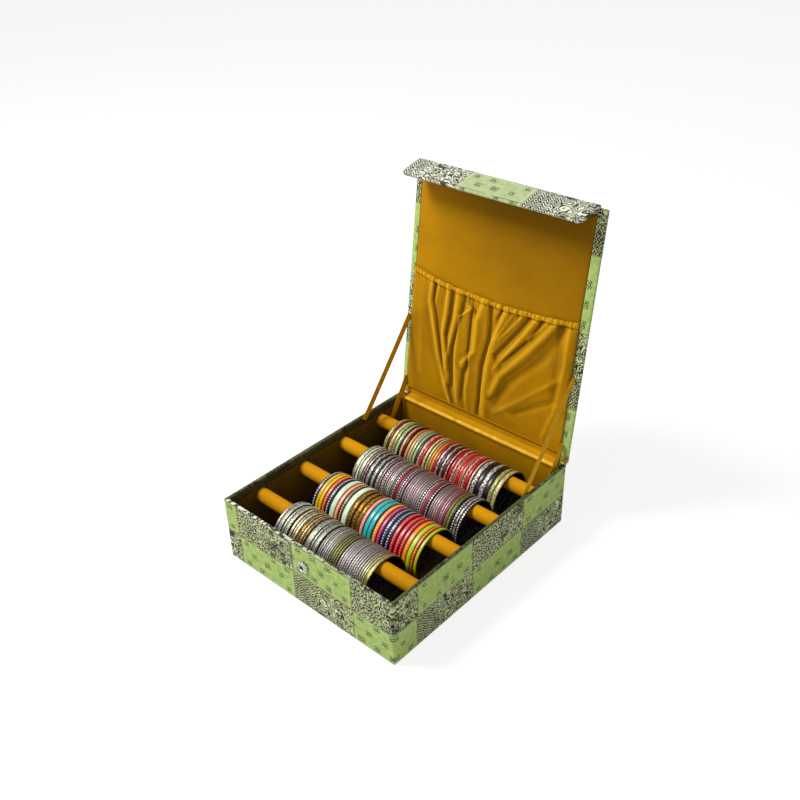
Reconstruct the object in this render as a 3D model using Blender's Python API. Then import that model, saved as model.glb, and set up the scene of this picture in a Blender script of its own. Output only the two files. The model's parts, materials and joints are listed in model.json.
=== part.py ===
# Bangle box: a brocade-covered case with a velvet-lined inside, four lift-out rolls that carry
# stacks of bangles, a leaning lid with a gathered pocket, and a fold-over flap with a press stud.
# Metres, +Z up. The origin is the centre of the underside, the front faces -Y.

import math

import bmesh
import bpy
from mathutils import Vector

# Driving sizes of the whole box. Its depth and height follow from the stacks of bangles inside.
BOX_WIDTH = 0.258
LID_LEAN_DEG = 7.5
SEAT_GAP = 0.0003
CUT_OVERRUN = 0.002

# Walls: board between two layers of cloth
WALL_BOARD = 0.0028
WRAP_CLOTH = 0.0006
CORNER_RADIUS = 0.0012
BOTTOM_ROUND = 0.0016
TOP_ROUND = 0.0005
UNDER_MARGIN = 0.014
FLOOR_BOARD = 0.0028
BOTTOM_PAPER = 0.0005

# Linings of the base
SIDE_LINER = 0.0030
FRONT_LINER = 0.0024
REAR_LINER = 0.0030
REAR_LINER_CROWN = 0.0010
FLOOR_LINER = 0.0022
REAR_LINER_DROP = 0.0010

# Rolls
ROLL_COUNT = 4
ROLL_RADIUS = 0.00875
ROLL_COVER = 0.00045
SLEEVE_CLOTH = 0.0012
ROLL_END_GAP = 0.0003
SLEEVE_SHORT = 0.0006
ROLL_EDGE = 0.0008

# Bangles
BANGLE_BORE = 0.0603
BANGLE_BAND = 0.0023
BANGLE_GROOVE = 0.0009
BANGLE_CHAMFER = 0.0006
BANGLE_SET_GAP = 0.0006
STACK_GAP = 0.0027
STACK_END_ROOM = 0.0148
STACK_FLOOR_ROOM = 0.00455

# Lid, hinged on a cloth spine behind the rear wall
HINGE_BEHIND = 0.0015
HINGE_RISE = 0.0007
LID_OVERHANG_FRONT = 0.0003
LID_EDGE_CLEAR = 0.0009
LID_REAR_CLEAR = 0.0006
LID_BOARD = 0.0020
LID_CLOTH = 0.0005
LID_FACE_RISE = 0.0004
LID_MARGIN_SIDE = 0.0110
LID_MARGIN_TOP = 0.0130
LID_MARGIN_BOTTOM = 0.0094
LID_CORNER_RADIUS = 0.0010
LINING_THICK = 0.0018
LID_SHUT_GAP = 0.00015

# Gathered pocket on the lid
POCKET_CLOTH = 0.0006
POCKET_ROOM = 0.0058
POCKET_SIDE_INSET = 0.0030
POCKET_EDGE_RUN = 0.0100
POCKET_START = 0.0020
POCKET_TOP = 0.1710
POCKET_HEM_SAG = 0.0065
POCKET_HEM = 0.0060
POCKET_FOOT_RUN = 0.0370
POCKET_SAG_SHARE = 0.8
POCKET_SWELL_SHARE = 0.7
FOLD_FADE_SHARE = 0.25
FOLD_SPREAD_SHARE = 0.5

# Flap at the free edge of the lid, on a strip of cloth with two fold lines
FLAP_WIDTH = 0.240
FLAP_LENGTH = 0.0330
FLAP_CORNER = 0.010
FLAP_BOARD = 0.0020
FLAP_MARGIN = 0.0035
FLAP_LINING = 0.0008
FLAP_START = 0.0009
STRIP_LENGTH = 0.0035
STRIP_CLOTH = 0.0008
STRIP_END_CLEAR = 0.0004
STRIP_FOLD_DEG = 54.5
STRIP_SHUT_DEG = 16.35
FLAP_FOLD_DEG = 54.5
FLAP_SHUT_DEG = 81.85

# Press stud
STUD_FROM_EDGE = 0.0077
SOCKET_RADIUS = 0.0076
SOCKET_HEIGHT = 0.0036
SOCKET_FLANGE = 0.0009
SOCKET_HOLE = 0.0029
SOCKET_HOLE_DEPTH = 0.0031
SOCKET_ROUND = 0.0008
SOCKET_FACE_RADIUS = 0.0052
SHANK_RADIUS = 0.0015
SHANK_HOLE = 0.0019
WASHER_RADIUS = 0.0050
WASHER_THICK = 0.0007
WASHER_RECESS = 0.0055
WASHER_RECESS_DEPTH = 0.0012
STUD_FLANGE_RADIUS = 0.0056
STUD_FLANGE = 0.0006
STUD_HEIGHT = 0.0034
STUD_BALL = 0.0022
STUD_NECK = 0.0017
STUD_TIP_SHARE = 0.6
STUD_NECK_SHARE = 0.5

# Cloth that crosses the hinge, stay ribbons and corner tapes
SPINE_CLOTH = 0.0008
SPINE_INSET = 0.0010
SPINE_DOWN = 0.012
SPINE_UP = 0.012
SPINE_BEND_DROP = 0.0045
HINGE_CLOTH = 0.0010
HINGE_CLOTH_RADIUS = 0.0062
HINGE_CLOTH_INSET = 0.0140
HINGE_CLOTH_SWING_SHARE = 0.6
RIBBON_WIDTH = 0.008
RIBBON_THICK = 0.0006
RIBBON_FOOT_AHEAD = 0.0714
RIBBON_FOOT_DROP = 0.0065
RIBBON_LID_UP = 0.100
RIBBON_LID_INSET = 0.0120
TAPE_WIDTH = 0.0060
TAPE_FOOT_AHEAD = 0.0295
TAPE_FOOT_DROP = 0.0265
TAPE_LID_UP = 0.021

# How finely round shapes are divided
CORNER_STEPS = 3
ROLL_SIDES = 24
BANGLE_SIDES = 20
SNAP_SIDES = 20
ARC_STEPS = 8
POCKET_COLUMNS = 56
POCKET_ROWS = 9

# Layers of the lid, from its hinge line: up is towards the inside
LID_BOARD_FACE = LID_FACE_RISE - LID_CLOTH - SEAT_GAP
LID_BACK = LID_BOARD_FACE - LID_BOARD - SEAT_GAP - LID_CLOTH
LID_MIDDLE = (LID_FACE_RISE + LID_BACK) / 2
LINING_BACK = LID_BOARD_FACE + SEAT_GAP
LINING_FACE = LINING_BACK + LINING_THICK
POCKET_FACE = LINING_FACE + SEAT_GAP + POCKET_ROOM + POCKET_CLOTH

# Heights of the base, from the table up
FLOOR_BOTTOM = WRAP_CLOTH + SEAT_GAP
FLOOR_TOP = FLOOR_BOTTOM + FLOOR_BOARD
LINER_BOTTOM = FLOOR_TOP + SEAT_GAP
FLOOR_FACE = LINER_BOTTOM + FLOOR_LINER
BANGLE_INNER = BANGLE_BORE / 2
BANGLE_OUTER = BANGLE_INNER + BANGLE_BAND
BANGLE_CENTRE = FLOOR_FACE + STACK_FLOOR_ROOM + BANGLE_OUTER
BANGLE_DROP = BANGLE_INNER - ROLL_RADIUS - SEAT_GAP
ROLL_HEIGHT = BANGLE_CENTRE + BANGLE_DROP
LINER_TOP = ROLL_HEIGHT + ROLL_RADIUS + ROLL_COVER
BOX_HEIGHT = BANGLE_CENTRE + BANGLE_OUTER + LID_SHUT_GAP + POCKET_FACE - HINGE_RISE
TURN_IN_DEPTH = BOX_HEIGHT - LINER_TOP - SEAT_GAP

# Places across and along the base
ROLL_PITCH = 2.0 * BANGLE_OUTER + STACK_GAP
BOX_DEPTH = ROLL_COUNT * ROLL_PITCH + 2.0 * STACK_END_ROOM
HALF_WIDTH = BOX_WIDTH / 2
HALF_DEPTH = BOX_DEPTH / 2
BOARD_FACE_OUT = WRAP_CLOTH + SEAT_GAP
BOARD_FACE_IN = BOARD_FACE_OUT + WALL_BOARD
TURN_IN_OUT = BOARD_FACE_IN + SEAT_GAP
TURN_IN_FACE = TURN_IN_OUT + WRAP_CLOTH
SIDE_LINER_FACE = TURN_IN_OUT + SIDE_LINER
ROLL_HALF = HALF_WIDTH - TURN_IN_FACE - ROLL_END_GAP

# The lid's hinge line and length
HINGE_Y = HALF_DEPTH + HINGE_BEHIND
HINGE_Z = BOX_HEIGHT + HINGE_RISE
LID_LENGTH = HINGE_Y + HALF_DEPTH + LID_OVERHANG_FRONT
FOLD_AXIS_S = LID_LENGTH + LID_EDGE_CLEAR - LID_OVERHANG_FRONT
LINING_START = LID_REAR_CLEAR + LID_MARGIN_BOTTOM
LINING_END = LID_LENGTH - LID_MARGIN_TOP

# The stud on the flap, and the socket's height, where the stud's ball lies once the flap is shut
FLAP_END = FLAP_START + FLAP_LENGTH
FLAP_LINING_FACE = FLAP_BOARD / 2 + SEAT_GAP + FLAP_LINING
STUD_ALONG = FLAP_END - STUD_FROM_EDGE
STUD_BASE = FLAP_LINING_FACE + SEAT_GAP
STUD_BALL_LEVEL = STUD_BASE + STUD_HEIGHT - STUD_BALL * STUD_TIP_SHARE
STRIP_SHUT_DROP = STRIP_LENGTH * math.sin(math.radians(STRIP_SHUT_DEG))
STUD_SHUT_DROP = STUD_ALONG * math.sin(math.radians(FLAP_SHUT_DEG))
BALL_SHUT_DROP = STUD_BALL_LEVEL * math.cos(math.radians(FLAP_SHUT_DEG))
SNAP_Z = HINGE_Z - LID_MIDDLE - STRIP_SHUT_DROP - STUD_SHUT_DROP - BALL_SHUT_DROP

# Each set of bangles: where it starts and ends along its roll, as shares of the roll's length from
# the left, then how many bands it has. The bands of one set are one solid with grooves between.
BANGLE_SET_SHARES = (
    ((0.214, 0.301, 2), (0.304, 0.406, 2), (0.409, 0.486, 1), (0.489, 0.608, 6), (0.611, 0.794, 5)),
    ((0.182, 0.295, 4), (0.298, 0.440, 4), (0.443, 0.570, 3), (0.573, 0.700, 4), (0.703, 0.843, 4)),
    ((0.178, 0.265, 2), (0.268, 0.360, 2), (0.363, 0.500, 4), (0.503, 0.660, 5), (0.663, 0.851, 5)),
    ((0.133, 0.270, 4), (0.273, 0.410, 4), (0.413, 0.550, 4), (0.553, 0.690, 4), (0.693, 0.847, 4)),
)

# Folds of the pocket: place across the pocket at the hem and at the foot (0 left, 1 right), width as
# a share of the pocket's width, depth as a share of its room, and how far down the fold runs.
POCKET_FOLD_SHARES = (
    (0.075, 0.110, 0.022, 0.60, 0.75),
    (0.170, 0.290, 0.024, 0.65, 1.00),
    (0.262, 0.232, 0.020, 0.80, 0.85),
    (0.345, 0.280, 0.022, 0.70, 0.95),
    (0.435, 0.372, 0.020, 0.75, 0.85),
    (0.512, 0.495, 0.019, 0.95, 1.00),
    (0.640, 0.530, 0.026, 0.65, 0.85),
    (0.745, 0.575, 0.028, 0.50, 0.75),
    (0.990, 0.640, 0.032, 0.40, 0.85),
)

# Colours: linear red, green, blue
GREEN_BROCADE = (0.42, 0.58, 0.22)
MUSTARD_VELVET = (0.52, 0.27, 0.01)
ROLL_VELVET = (0.62, 0.30, 0.01)
GREY_BOARD = (0.36, 0.34, 0.31)
PALE_PAPER = (0.62, 0.60, 0.55)
NICKEL = (0.72, 0.72, 0.70)
TURNED_WOOD = (0.55, 0.40, 0.24)
GOLD_RIBBON = (0.55, 0.33, 0.05)
BANGLE_TINTS = (
    ((0.50, 0.50, 0.42), (0.52, 0.47, 0.30), (0.30, 0.33, 0.28), (0.25, 0.25, 0.20), (0.52, 0.45, 0.42)),
    ((0.75, 0.45, 0.04), (0.70, 0.75, 0.50), (0.60, 0.45, 0.12), (0.10, 0.50, 0.50), (0.75, 0.08, 0.06)),
    ((0.55, 0.60, 0.50), (0.22, 0.21, 0.20), (0.40, 0.28, 0.28), (0.35, 0.28, 0.30), (0.30, 0.32, 0.12)),
    ((0.60, 0.55, 0.30), (0.60, 0.35, 0.25), (0.65, 0.20, 0.12), (0.45, 0.05, 0.05), (0.30, 0.28, 0.24)),
)


def clear_scene():
    for old in list(bpy.data.objects):
        bpy.data.objects.remove(old, do_unlink=True)


def finish_material(name, colour, roughness, metallic=0.0):
    material = bpy.data.materials.new(name)
    material.use_nodes = True
    shader = material.node_tree.nodes["Principled BSDF"]
    shader.inputs["Base Color"].default_value = (*colour, 1.0)
    shader.inputs["Roughness"].default_value = roughness
    shader.inputs["Metallic"].default_value = metallic
    return material


def axis_empty(name, location, tilt_deg=0.0, parent=None):
    empty = bpy.data.objects.new(name, None)
    empty.location = location
    empty.rotation_euler = (math.radians(tilt_deg), 0.0, 0.0)
    empty.parent = parent
    bpy.context.scene.collection.objects.link(empty)
    return empty


def add_object(name, bm, material, parent=None, smooth_deg=None):
    bmesh.ops.recalc_face_normals(bm, faces=bm.faces)
    mesh = bpy.data.meshes.new(name)
    bm.to_mesh(mesh)
    bm.free()
    mesh.materials.append(material)
    if smooth_deg is not None:
        mesh.shade_smooth()
        mesh.set_sharp_from_angle(angle=math.radians(smooth_deg))
    piece = bpy.data.objects.new(name, mesh)
    piece.parent = parent
    bpy.context.scene.collection.objects.link(piece)
    return piece


def loft(loops, closed_ends=True, ring=False):
    """Skin a list of point loops, each joined to the next; a ring joins the last to the first."""
    bm = bmesh.new()
    rows = [[bm.verts.new(point) for point in loop] for loop in loops]
    pairs = list(zip(rows, rows[1:]))
    if ring:
        pairs.append((rows[-1], rows[0]))
    for row, following in pairs:
        for i in range(len(row)):
            j = (i + 1) % len(row)
            bm.faces.new((row[i], row[j], following[j], following[i]))
    if closed_ends and not ring:
        bm.faces.new(rows[0])
        bm.faces.new(list(reversed(rows[-1])))
    return bm


def slab(name, low, high, material, parent=None):
    corners = ((low[0], low[1]), (high[0], low[1]), (high[0], high[1]), (low[0], high[1]))
    loops = [[(x, y, z) for x, y in corners] for z in (low[2], high[2])]
    return add_object(name, loft(loops), material, parent)


def prism(name, outline, low, high, material, parent=None, along="z"):
    """Extrude an outline; along z its points are x and y, along x they are y and z."""
    if along == "z":
        loops = [[(u, v, level) for u, v in outline] for level in (low, high)]
    else:
        loops = [[(level, u, v) for u, v in outline] for level in (low, high)]
    return add_object(name, loft(loops), material, parent)


def turned(name, profile, sides, centre, axis, material, parent=None, bore=False):
    """Turn a profile of (along, radius) points about an axis; a bore profile closes on itself."""
    forward = Vector(axis).normalized()
    side = Vector((1.0, 0.0, 0.0)) if abs(forward.x) < 0.5 else Vector((0.0, 1.0, 0.0))
    up = forward.cross(side)
    loops = []
    for along, radius in profile:
        middle = Vector(centre) + forward * along
        turns = [2.0 * math.pi * (k + 0.5) / sides for k in range(sides)]
        loops.append([middle + (side * math.cos(turn) + up * math.sin(turn)) * radius for turn in turns])
    return add_object(name, loft(loops, ring=bore), material, parent, smooth_deg=40)


def rounded_rectangle(half_x, half_y, radius, steps, centre=(0.0, 0.0)):
    points = []
    corners = ((1, 1, 0), (-1, 1, 90), (-1, -1, 180), (1, -1, 270))
    for sign_x, sign_y, start in corners:
        for k in range(steps + 1):
            turn = math.radians(start + 90.0 * k / steps)
            x = centre[0] + sign_x * (half_x - radius) + radius * math.cos(turn)
            y = centre[1] + sign_y * (half_y - radius) + radius * math.sin(turn)
            points.append((x, y))
    return points


def cut(piece, cutter):
    cutter.hide_render = True
    cutter.display_type = "WIRE"
    boolean = piece.modifiers.new("cut by " + cutter.name, "BOOLEAN")
    boolean.operation = "DIFFERENCE"
    boolean.solver = "EXACT"
    boolean.object = cutter


def cutter_rod(name, centre, axis, length, radius, parent=None):
    profile = ((-length / 2, radius), (length / 2, radius))
    return turned(name, profile, SNAP_SIDES, centre, axis, cutter_material, parent)


def base_wrap():
    """Brocade pulled over the four walls: under margin, outside, over the top, and turned in."""
    outline = [
        (UNDER_MARGIN, 0.0),
        (BOTTOM_ROUND, 0.0),
        (BOTTOM_ROUND * (1.0 - math.sin(math.pi / 4)), BOTTOM_ROUND * (1.0 - math.sin(math.pi / 4))),
        (0.0, BOTTOM_ROUND),
        (0.0, BOX_HEIGHT - TOP_ROUND),
        (TOP_ROUND, BOX_HEIGHT),
        (TURN_IN_FACE - TOP_ROUND, BOX_HEIGHT),
        (TURN_IN_FACE, BOX_HEIGHT - TOP_ROUND),
        (TURN_IN_FACE, BOX_HEIGHT - TURN_IN_DEPTH),
        (TURN_IN_OUT, BOX_HEIGHT - TURN_IN_DEPTH),
        (TURN_IN_OUT, BOX_HEIGHT - WRAP_CLOTH),
        (WRAP_CLOTH, BOX_HEIGHT - WRAP_CLOTH),
        (WRAP_CLOTH, BOTTOM_ROUND),
        (BOTTOM_ROUND, WRAP_CLOTH),
        (UNDER_MARGIN, WRAP_CLOTH),
    ]
    loops = []
    for inset, z in outline:
        radius = max(CORNER_RADIUS - inset, SEAT_GAP)
        ring = rounded_rectangle(HALF_WIDTH - inset, HALF_DEPTH - inset, radius, CORNER_STEPS)
        loops.append([(x, y, z) for x, y in ring])
    return add_object("outer_wrap", loft(loops, ring=True), brocade, smooth_deg=35)


def base_walls():
    x_out = HALF_WIDTH - BOARD_FACE_OUT
    x_in = HALF_WIDTH - BOARD_FACE_IN
    y_out = HALF_DEPTH - BOARD_FACE_OUT
    y_in = HALF_DEPTH - BOARD_FACE_IN
    top = BOX_HEIGHT - WRAP_CLOTH - SEAT_GAP
    low = max(FLOOR_BOTTOM, BOTTOM_ROUND)
    slab("left_wall_board", (-x_out, -y_out, low), (-x_in, y_out, top), board)
    slab("right_wall_board", (x_in, -y_out, low), (x_out, y_out, top), board)
    across = x_in - SEAT_GAP
    front = slab("front_wall_board", (-across, -y_out, low), (across, -y_in, top), board)
    slab("rear_wall_board", (-across, y_in, low), (across, y_out, top), board)
    along = y_in - SEAT_GAP
    slab("floor_board", (-across, -along, FLOOR_BOTTOM), (across, along, FLOOR_TOP), board)
    x_paper = HALF_WIDTH - UNDER_MARGIN - SEAT_GAP
    y_paper = HALF_DEPTH - UNDER_MARGIN - SEAT_GAP
    slab("underside_paper", (-x_paper, -y_paper, 0.0), (x_paper, y_paper, BOTTOM_PAPER), paper)
    return front


def roll_places():
    first = -ROLL_PITCH * (ROLL_COUNT - 1) / 2
    return [first + ROLL_PITCH * k for k in range(ROLL_COUNT)]


def notched_outline():
    """Side liner seen from the side: a board with a U notch, open at the top, for each roll."""
    y_end = HALF_DEPTH - TURN_IN_OUT
    radius = (ROLL_RADIUS + SEAT_GAP) / math.cos(math.pi / ROLL_SIDES)
    points = [(-y_end, LINER_BOTTOM), (y_end, LINER_BOTTOM), (y_end, LINER_TOP)]
    for y in reversed(roll_places()):
        points.append((y + radius, LINER_TOP))
        for k in range(ROLL_SIDES // 2 + 1):
            turn = -math.pi * k / (ROLL_SIDES // 2)
            points.append((y + radius * math.cos(turn), ROLL_HEIGHT + radius * math.sin(turn)))
        points.append((y - radius, LINER_TOP))
    points.append((-y_end, LINER_TOP))
    return points


def base_liners():
    outer = HALF_WIDTH - TURN_IN_OUT
    inner = HALF_WIDTH - SIDE_LINER_FACE
    prism("left_side_liner", notched_outline(), -outer, -inner, velvet, along="x")
    prism("right_side_liner", notched_outline(), inner, outer, velvet, along="x")
    across = inner - SEAT_GAP
    front_out = -(HALF_DEPTH - TURN_IN_OUT)
    front_in = front_out + FRONT_LINER
    slab("front_liner", (-across, front_out, LINER_BOTTOM), (across, front_in, LINER_TOP), velvet)
    rear_out = HALF_DEPTH - TURN_IN_FACE - SEAT_GAP
    rear_in = rear_out - REAR_LINER
    top = BOX_HEIGHT - REAR_LINER_DROP
    outline = [(rear_out, LINER_BOTTOM), (rear_out, top)]
    for k in range(ARC_STEPS + 1):
        share = k / ARC_STEPS
        crown = REAR_LINER_CROWN * math.sin(math.pi * share)
        outline.append((rear_in - crown, top + (LINER_BOTTOM - top) * share))
    prism("rear_liner", outline, -across, across, velvet, along="x")
    floor_front = front_in + SEAT_GAP
    floor_rear = rear_in - SEAT_GAP
    slab("floor_liner", (-across, floor_front, LINER_BOTTOM), (across, floor_rear, FLOOR_FACE), velvet)


def lid_point(x, s, n):
    """A point of the open lid in world space: s runs up the lid, n towards the inside."""
    lean = math.radians(LID_LEAN_DEG)
    y = HINGE_Y + s * math.sin(lean) - n * math.cos(lean)
    z = HINGE_Z + s * math.cos(lean) + n * math.sin(lean)
    return Vector((x, y, z))


def skin_block(name, outline_outer, low, high, window, parent, cavity_outline, cavity_low, cavity_high):
    """A thin cover round a board: an outer block, less the board's room, less a window inside."""
    piece = prism(name, outline_outer, low, high, brocade, parent)
    room = prism(name + "_room", cavity_outline, cavity_low, cavity_high, cutter_material, parent)
    window_low = cavity_high - (high - cavity_high)
    opening = prism(name + "_window", window, window_low, high + CUT_OVERRUN, cutter_material, parent)
    cut(piece, room)
    cut(piece, opening)
    return piece


def lid_shell(hinge):
    half_x = HALF_WIDTH
    start = LID_REAR_CLEAR
    half_s = (LID_LENGTH - start) / 2
    middle = (0.0, start + half_s)
    skin = LID_CLOTH
    board_inset = skin + SEAT_GAP
    outer = rounded_rectangle(half_x, half_s, LID_CORNER_RADIUS, CORNER_STEPS, middle)
    cavity = rounded_rectangle(half_x - skin, half_s - skin, LID_CORNER_RADIUS - skin, CORNER_STEPS, middle)
    window_s = (LINING_END - LINING_START) / 2
    window_half = HALF_WIDTH - LID_MARGIN_SIDE
    window_middle = (0.0, (LINING_END + LINING_START) / 2)
    window = rounded_rectangle(window_half, window_s, LID_CORNER_RADIUS, CORNER_STEPS, window_middle)
    skin_block("lid_cover", outer, LID_BACK, LID_FACE_RISE, window, hinge, cavity,
               LID_BACK + skin, LID_FACE_RISE - skin)
    slab("lid_board", (-(half_x - board_inset), start + board_inset, LID_BOARD_FACE - LID_BOARD),
         (half_x - board_inset, LID_LENGTH - board_inset, LID_BOARD_FACE), board, hinge)
    lining_outline = rounded_rectangle(window_half - SEAT_GAP, window_s - SEAT_GAP, LID_CORNER_RADIUS,
                                       CORNER_STEPS, window_middle)
    prism("lid_lining", lining_outline, LINING_BACK, LINING_FACE, velvet, hinge)


def pocket_hem_line(across):
    """Height of the pocket's mouth: the elastic lets the middle sag."""
    return POCKET_TOP - POCKET_HEM_SAG * math.sin(math.pi * across) ** POCKET_SAG_SHARE


def pocket_rise(across, up):
    """How far the pocket's back stands off the lining, with its folds, at shares across and up."""
    half = HALF_WIDTH - LID_MARGIN_SIDE - POCKET_SIDE_INSET
    edge = min(across, 1.0 - across) * 2.0 * half / POCKET_EDGE_RUN
    rim = math.sin(min(edge, 1.0) * math.pi / 2) ** POCKET_SWELL_SHARE
    from_foot = up * (POCKET_TOP - LINING_START) / POCKET_FOOT_RUN
    foot = math.sin(min(from_foot, 1.0) * math.pi / 2) ** POCKET_SWELL_SHARE
    room = POCKET_ROOM * rim * foot
    rise = room
    for top_share, foot_share, width_share, depth_share, run_share in POCKET_FOLD_SHARES:
        centre = foot_share + (top_share - foot_share) * up
        fade = min(max((up - 1.0 + run_share) / FOLD_FADE_SHARE, 0.0), 1.0)
        spread = width_share * (1.0 + FOLD_SPREAD_SHARE * (1.0 - up))
        rise -= room * depth_share * fade * math.exp(-((across - centre) / spread) ** 2)
    return max(rise, 0.0)


def cloth_solid(name, grid_back, thickness, material, parent):
    """A closed sheet: a grid of points and the same grid lifted by its thickness."""
    bm = bmesh.new()
    back = [[bm.verts.new(p) for p in row] for row in grid_back]
    front = [[bm.verts.new((p[0], p[1], p[2] + thickness)) for p in row] for row in grid_back]
    rows = len(back)
    columns = len(back[0])
    for sheet in (back, front):
        for i in range(rows - 1):
            for j in range(columns - 1):
                bm.faces.new((sheet[i][j], sheet[i][j + 1], sheet[i + 1][j + 1], sheet[i + 1][j]))
    rim = [(0, j) for j in range(columns)] + [(i, columns - 1) for i in range(1, rows)]
    rim += [(rows - 1, j) for j in range(columns - 2, -1, -1)] + [(i, 0) for i in range(rows - 2, 0, -1)]
    for (i, j), (k, m) in zip(rim, rim[1:] + rim[:1]):
        bm.faces.new((back[i][j], back[k][m], front[k][m], front[i][j]))
    return add_object(name, bm, material, parent, smooth_deg=50)


def lid_pocket(hinge):
    half = HALF_WIDTH - LID_MARGIN_SIDE - POCKET_SIDE_INSET
    start = LINING_START + POCKET_START
    base = LINING_FACE + SEAT_GAP
    grid = []
    for i in range(POCKET_ROWS + 1):
        up = i / POCKET_ROWS
        row = []
        for j in range(POCKET_COLUMNS + 1):
            across = j / POCKET_COLUMNS
            top = pocket_hem_line(across) - POCKET_HEM - SEAT_GAP
            rise = pocket_rise(across, up)
            row.append((half * (2.0 * across - 1.0), start + (top - start) * up, base + rise))
        grid.append(row)
    cloth_solid("lid_pocket", grid, POCKET_CLOTH, velvet, hinge)
    hem = []
    for level in (0.0, 0.5, 1.0):
        row = []
        for j in range(POCKET_COLUMNS + 1):
            across = j / POCKET_COLUMNS
            s = pocket_hem_line(across) - POCKET_HEM * (1.0 - level)
            rise = pocket_rise(across, 1.0)
            row.append((half * (2.0 * across - 1.0), s, base + rise))
        hem.append(row)
    cloth_solid("pocket_elastic_hem", hem, POCKET_CLOTH, velvet, hinge)


def flap_outline(half_x, start, end, corner):
    points = [(-half_x, start), (half_x, start)]
    for k in range(ARC_STEPS + 1):
        turn = math.pi / 2 * k / ARC_STEPS
        points.append((half_x - corner + corner * math.cos(turn), end - corner + corner * math.sin(turn)))
    for k in range(ARC_STEPS + 1):
        turn = math.pi / 2 * (1.0 + k / ARC_STEPS)
        points.append((-half_x + corner + corner * math.cos(turn), end - corner + corner * math.sin(turn)))
    return points


def flap_shell(fold):
    half_x = FLAP_WIDTH / 2
    skin = LID_CLOTH
    inset = LID_CLOTH + SEAT_GAP
    high = FLAP_BOARD / 2 + inset
    outer = flap_outline(half_x, FLAP_START, FLAP_END, FLAP_CORNER)
    cavity = flap_outline(half_x - skin, FLAP_START + skin, FLAP_END - skin, FLAP_CORNER - skin)
    window = flap_outline(half_x - FLAP_MARGIN, FLAP_START + FLAP_MARGIN, FLAP_END - FLAP_MARGIN,
                          FLAP_CORNER - FLAP_MARGIN)
    skin_block("flap_cover", outer, -high, high, window, fold, cavity, -high + skin, high - skin)
    core = flap_outline(half_x - inset, FLAP_START + inset, FLAP_END - inset, FLAP_CORNER - inset)
    flap_board = prism("flap_board", core, -FLAP_BOARD / 2, FLAP_BOARD / 2, board, fold)
    lining_inset = FLAP_MARGIN + SEAT_GAP
    lining = flap_outline(half_x - lining_inset, FLAP_START + lining_inset, FLAP_END - lining_inset,
                          FLAP_CORNER - lining_inset)
    flap_lining = prism("flap_lining", lining, FLAP_LINING_FACE - FLAP_LINING, FLAP_LINING_FACE, velvet, fold)
    return flap_board, flap_lining


def press_stud(fold, flap_board, flap_lining):
    """The stud under the flap: flange, neck and ball outside, a shank through to a washer."""
    place = (0.0, STUD_ALONG, 0.0)
    up = (0.0, 0.0, 1.0)
    flange = STUD_BASE
    top = flange + STUD_FLANGE
    recess_floor = -FLAP_BOARD / 2 + WASHER_RECESS_DEPTH
    profile = [
        (recess_floor - WASHER_THICK, SHANK_RADIUS),
        (flange, SHANK_RADIUS),
        (flange, STUD_FLANGE_RADIUS),
        (top, STUD_FLANGE_RADIUS),
        (top, STUD_NECK),
        (STUD_BALL_LEVEL - STUD_BALL * STUD_NECK_SHARE, STUD_NECK),
        (STUD_BALL_LEVEL, STUD_BALL),
        (flange + STUD_HEIGHT, STUD_BALL * STUD_TIP_SHARE),
    ]
    turned("snap_stud", profile, SNAP_SIDES, place, up, nickel, fold)
    shank_length = 2.0 * (FLAP_LINING_FACE + CUT_OVERRUN)
    cut(flap_board, cutter_rod("stud_hole", place, up, shank_length, SHANK_HOLE, fold))
    cut(flap_lining, cutter_rod("stud_lining_hole", place, up, shank_length, SHANK_HOLE, fold))
    recess_middle = recess_floor - CUT_OVERRUN
    recess_place = (0.0, STUD_ALONG, recess_middle)
    cut(flap_board, cutter_rod("stud_recess", recess_place, up, 2.0 * CUT_OVERRUN, WASHER_RECESS, fold))
    washer_top = recess_floor - SEAT_GAP
    washer = [
        (washer_top, SHANK_HOLE),
        (washer_top, WASHER_RADIUS),
        (washer_top - WASHER_THICK, WASHER_RADIUS),
        (washer_top - WASHER_THICK, SHANK_HOLE),
    ]
    turned("stud_washer", washer, SNAP_SIDES, place, up, nickel, fold, bore=True)


def press_socket(front_wall, wrap):
    """The socket on the front wall: a domed ring with a deep hole, its shank and its washer."""
    place = (0.0, -HALF_DEPTH, SNAP_Z)
    out = (0.0, -1.0, 0.0)
    base = SEAT_GAP
    top = base + SOCKET_HEIGHT
    recess_floor = -BOARD_FACE_IN + WASHER_RECESS_DEPTH
    profile = [
        (recess_floor - WASHER_THICK, SHANK_RADIUS),
        (base, SHANK_RADIUS),
        (base, SOCKET_RADIUS),
        (base + SOCKET_FLANGE, SOCKET_RADIUS),
        (top - SOCKET_ROUND, SOCKET_RADIUS - SOCKET_ROUND),
        (top, SOCKET_FACE_RADIUS),
        (top, SOCKET_HOLE),
        (top - SOCKET_HOLE_DEPTH, SOCKET_HOLE),
    ]
    turned("snap_socket", profile, SNAP_SIDES, place, out, nickel)
    length = 2.0 * (BOARD_FACE_IN + CUT_OVERRUN)
    cut(front_wall, cutter_rod("socket_hole", place, out, length, SHANK_HOLE))
    cut(wrap, cutter_rod("socket_wrap_hole", place, out, 2.0 * BOARD_FACE_OUT, SHANK_HOLE))
    recess_place = (0.0, -HALF_DEPTH - recess_floor + CUT_OVERRUN, SNAP_Z)
    cut(front_wall, cutter_rod("socket_recess", recess_place, out, 2.0 * CUT_OVERRUN, WASHER_RECESS))
    washer_top = recess_floor - SEAT_GAP
    washer = [
        (washer_top, SHANK_HOLE),
        (washer_top, WASHER_RADIUS),
        (washer_top - WASHER_THICK, WASHER_RADIUS),
        (washer_top - WASHER_THICK, SHANK_HOLE),
    ]
    turned("socket_washer", washer, SNAP_SIDES, place, out, nickel, bore=True)


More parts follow.
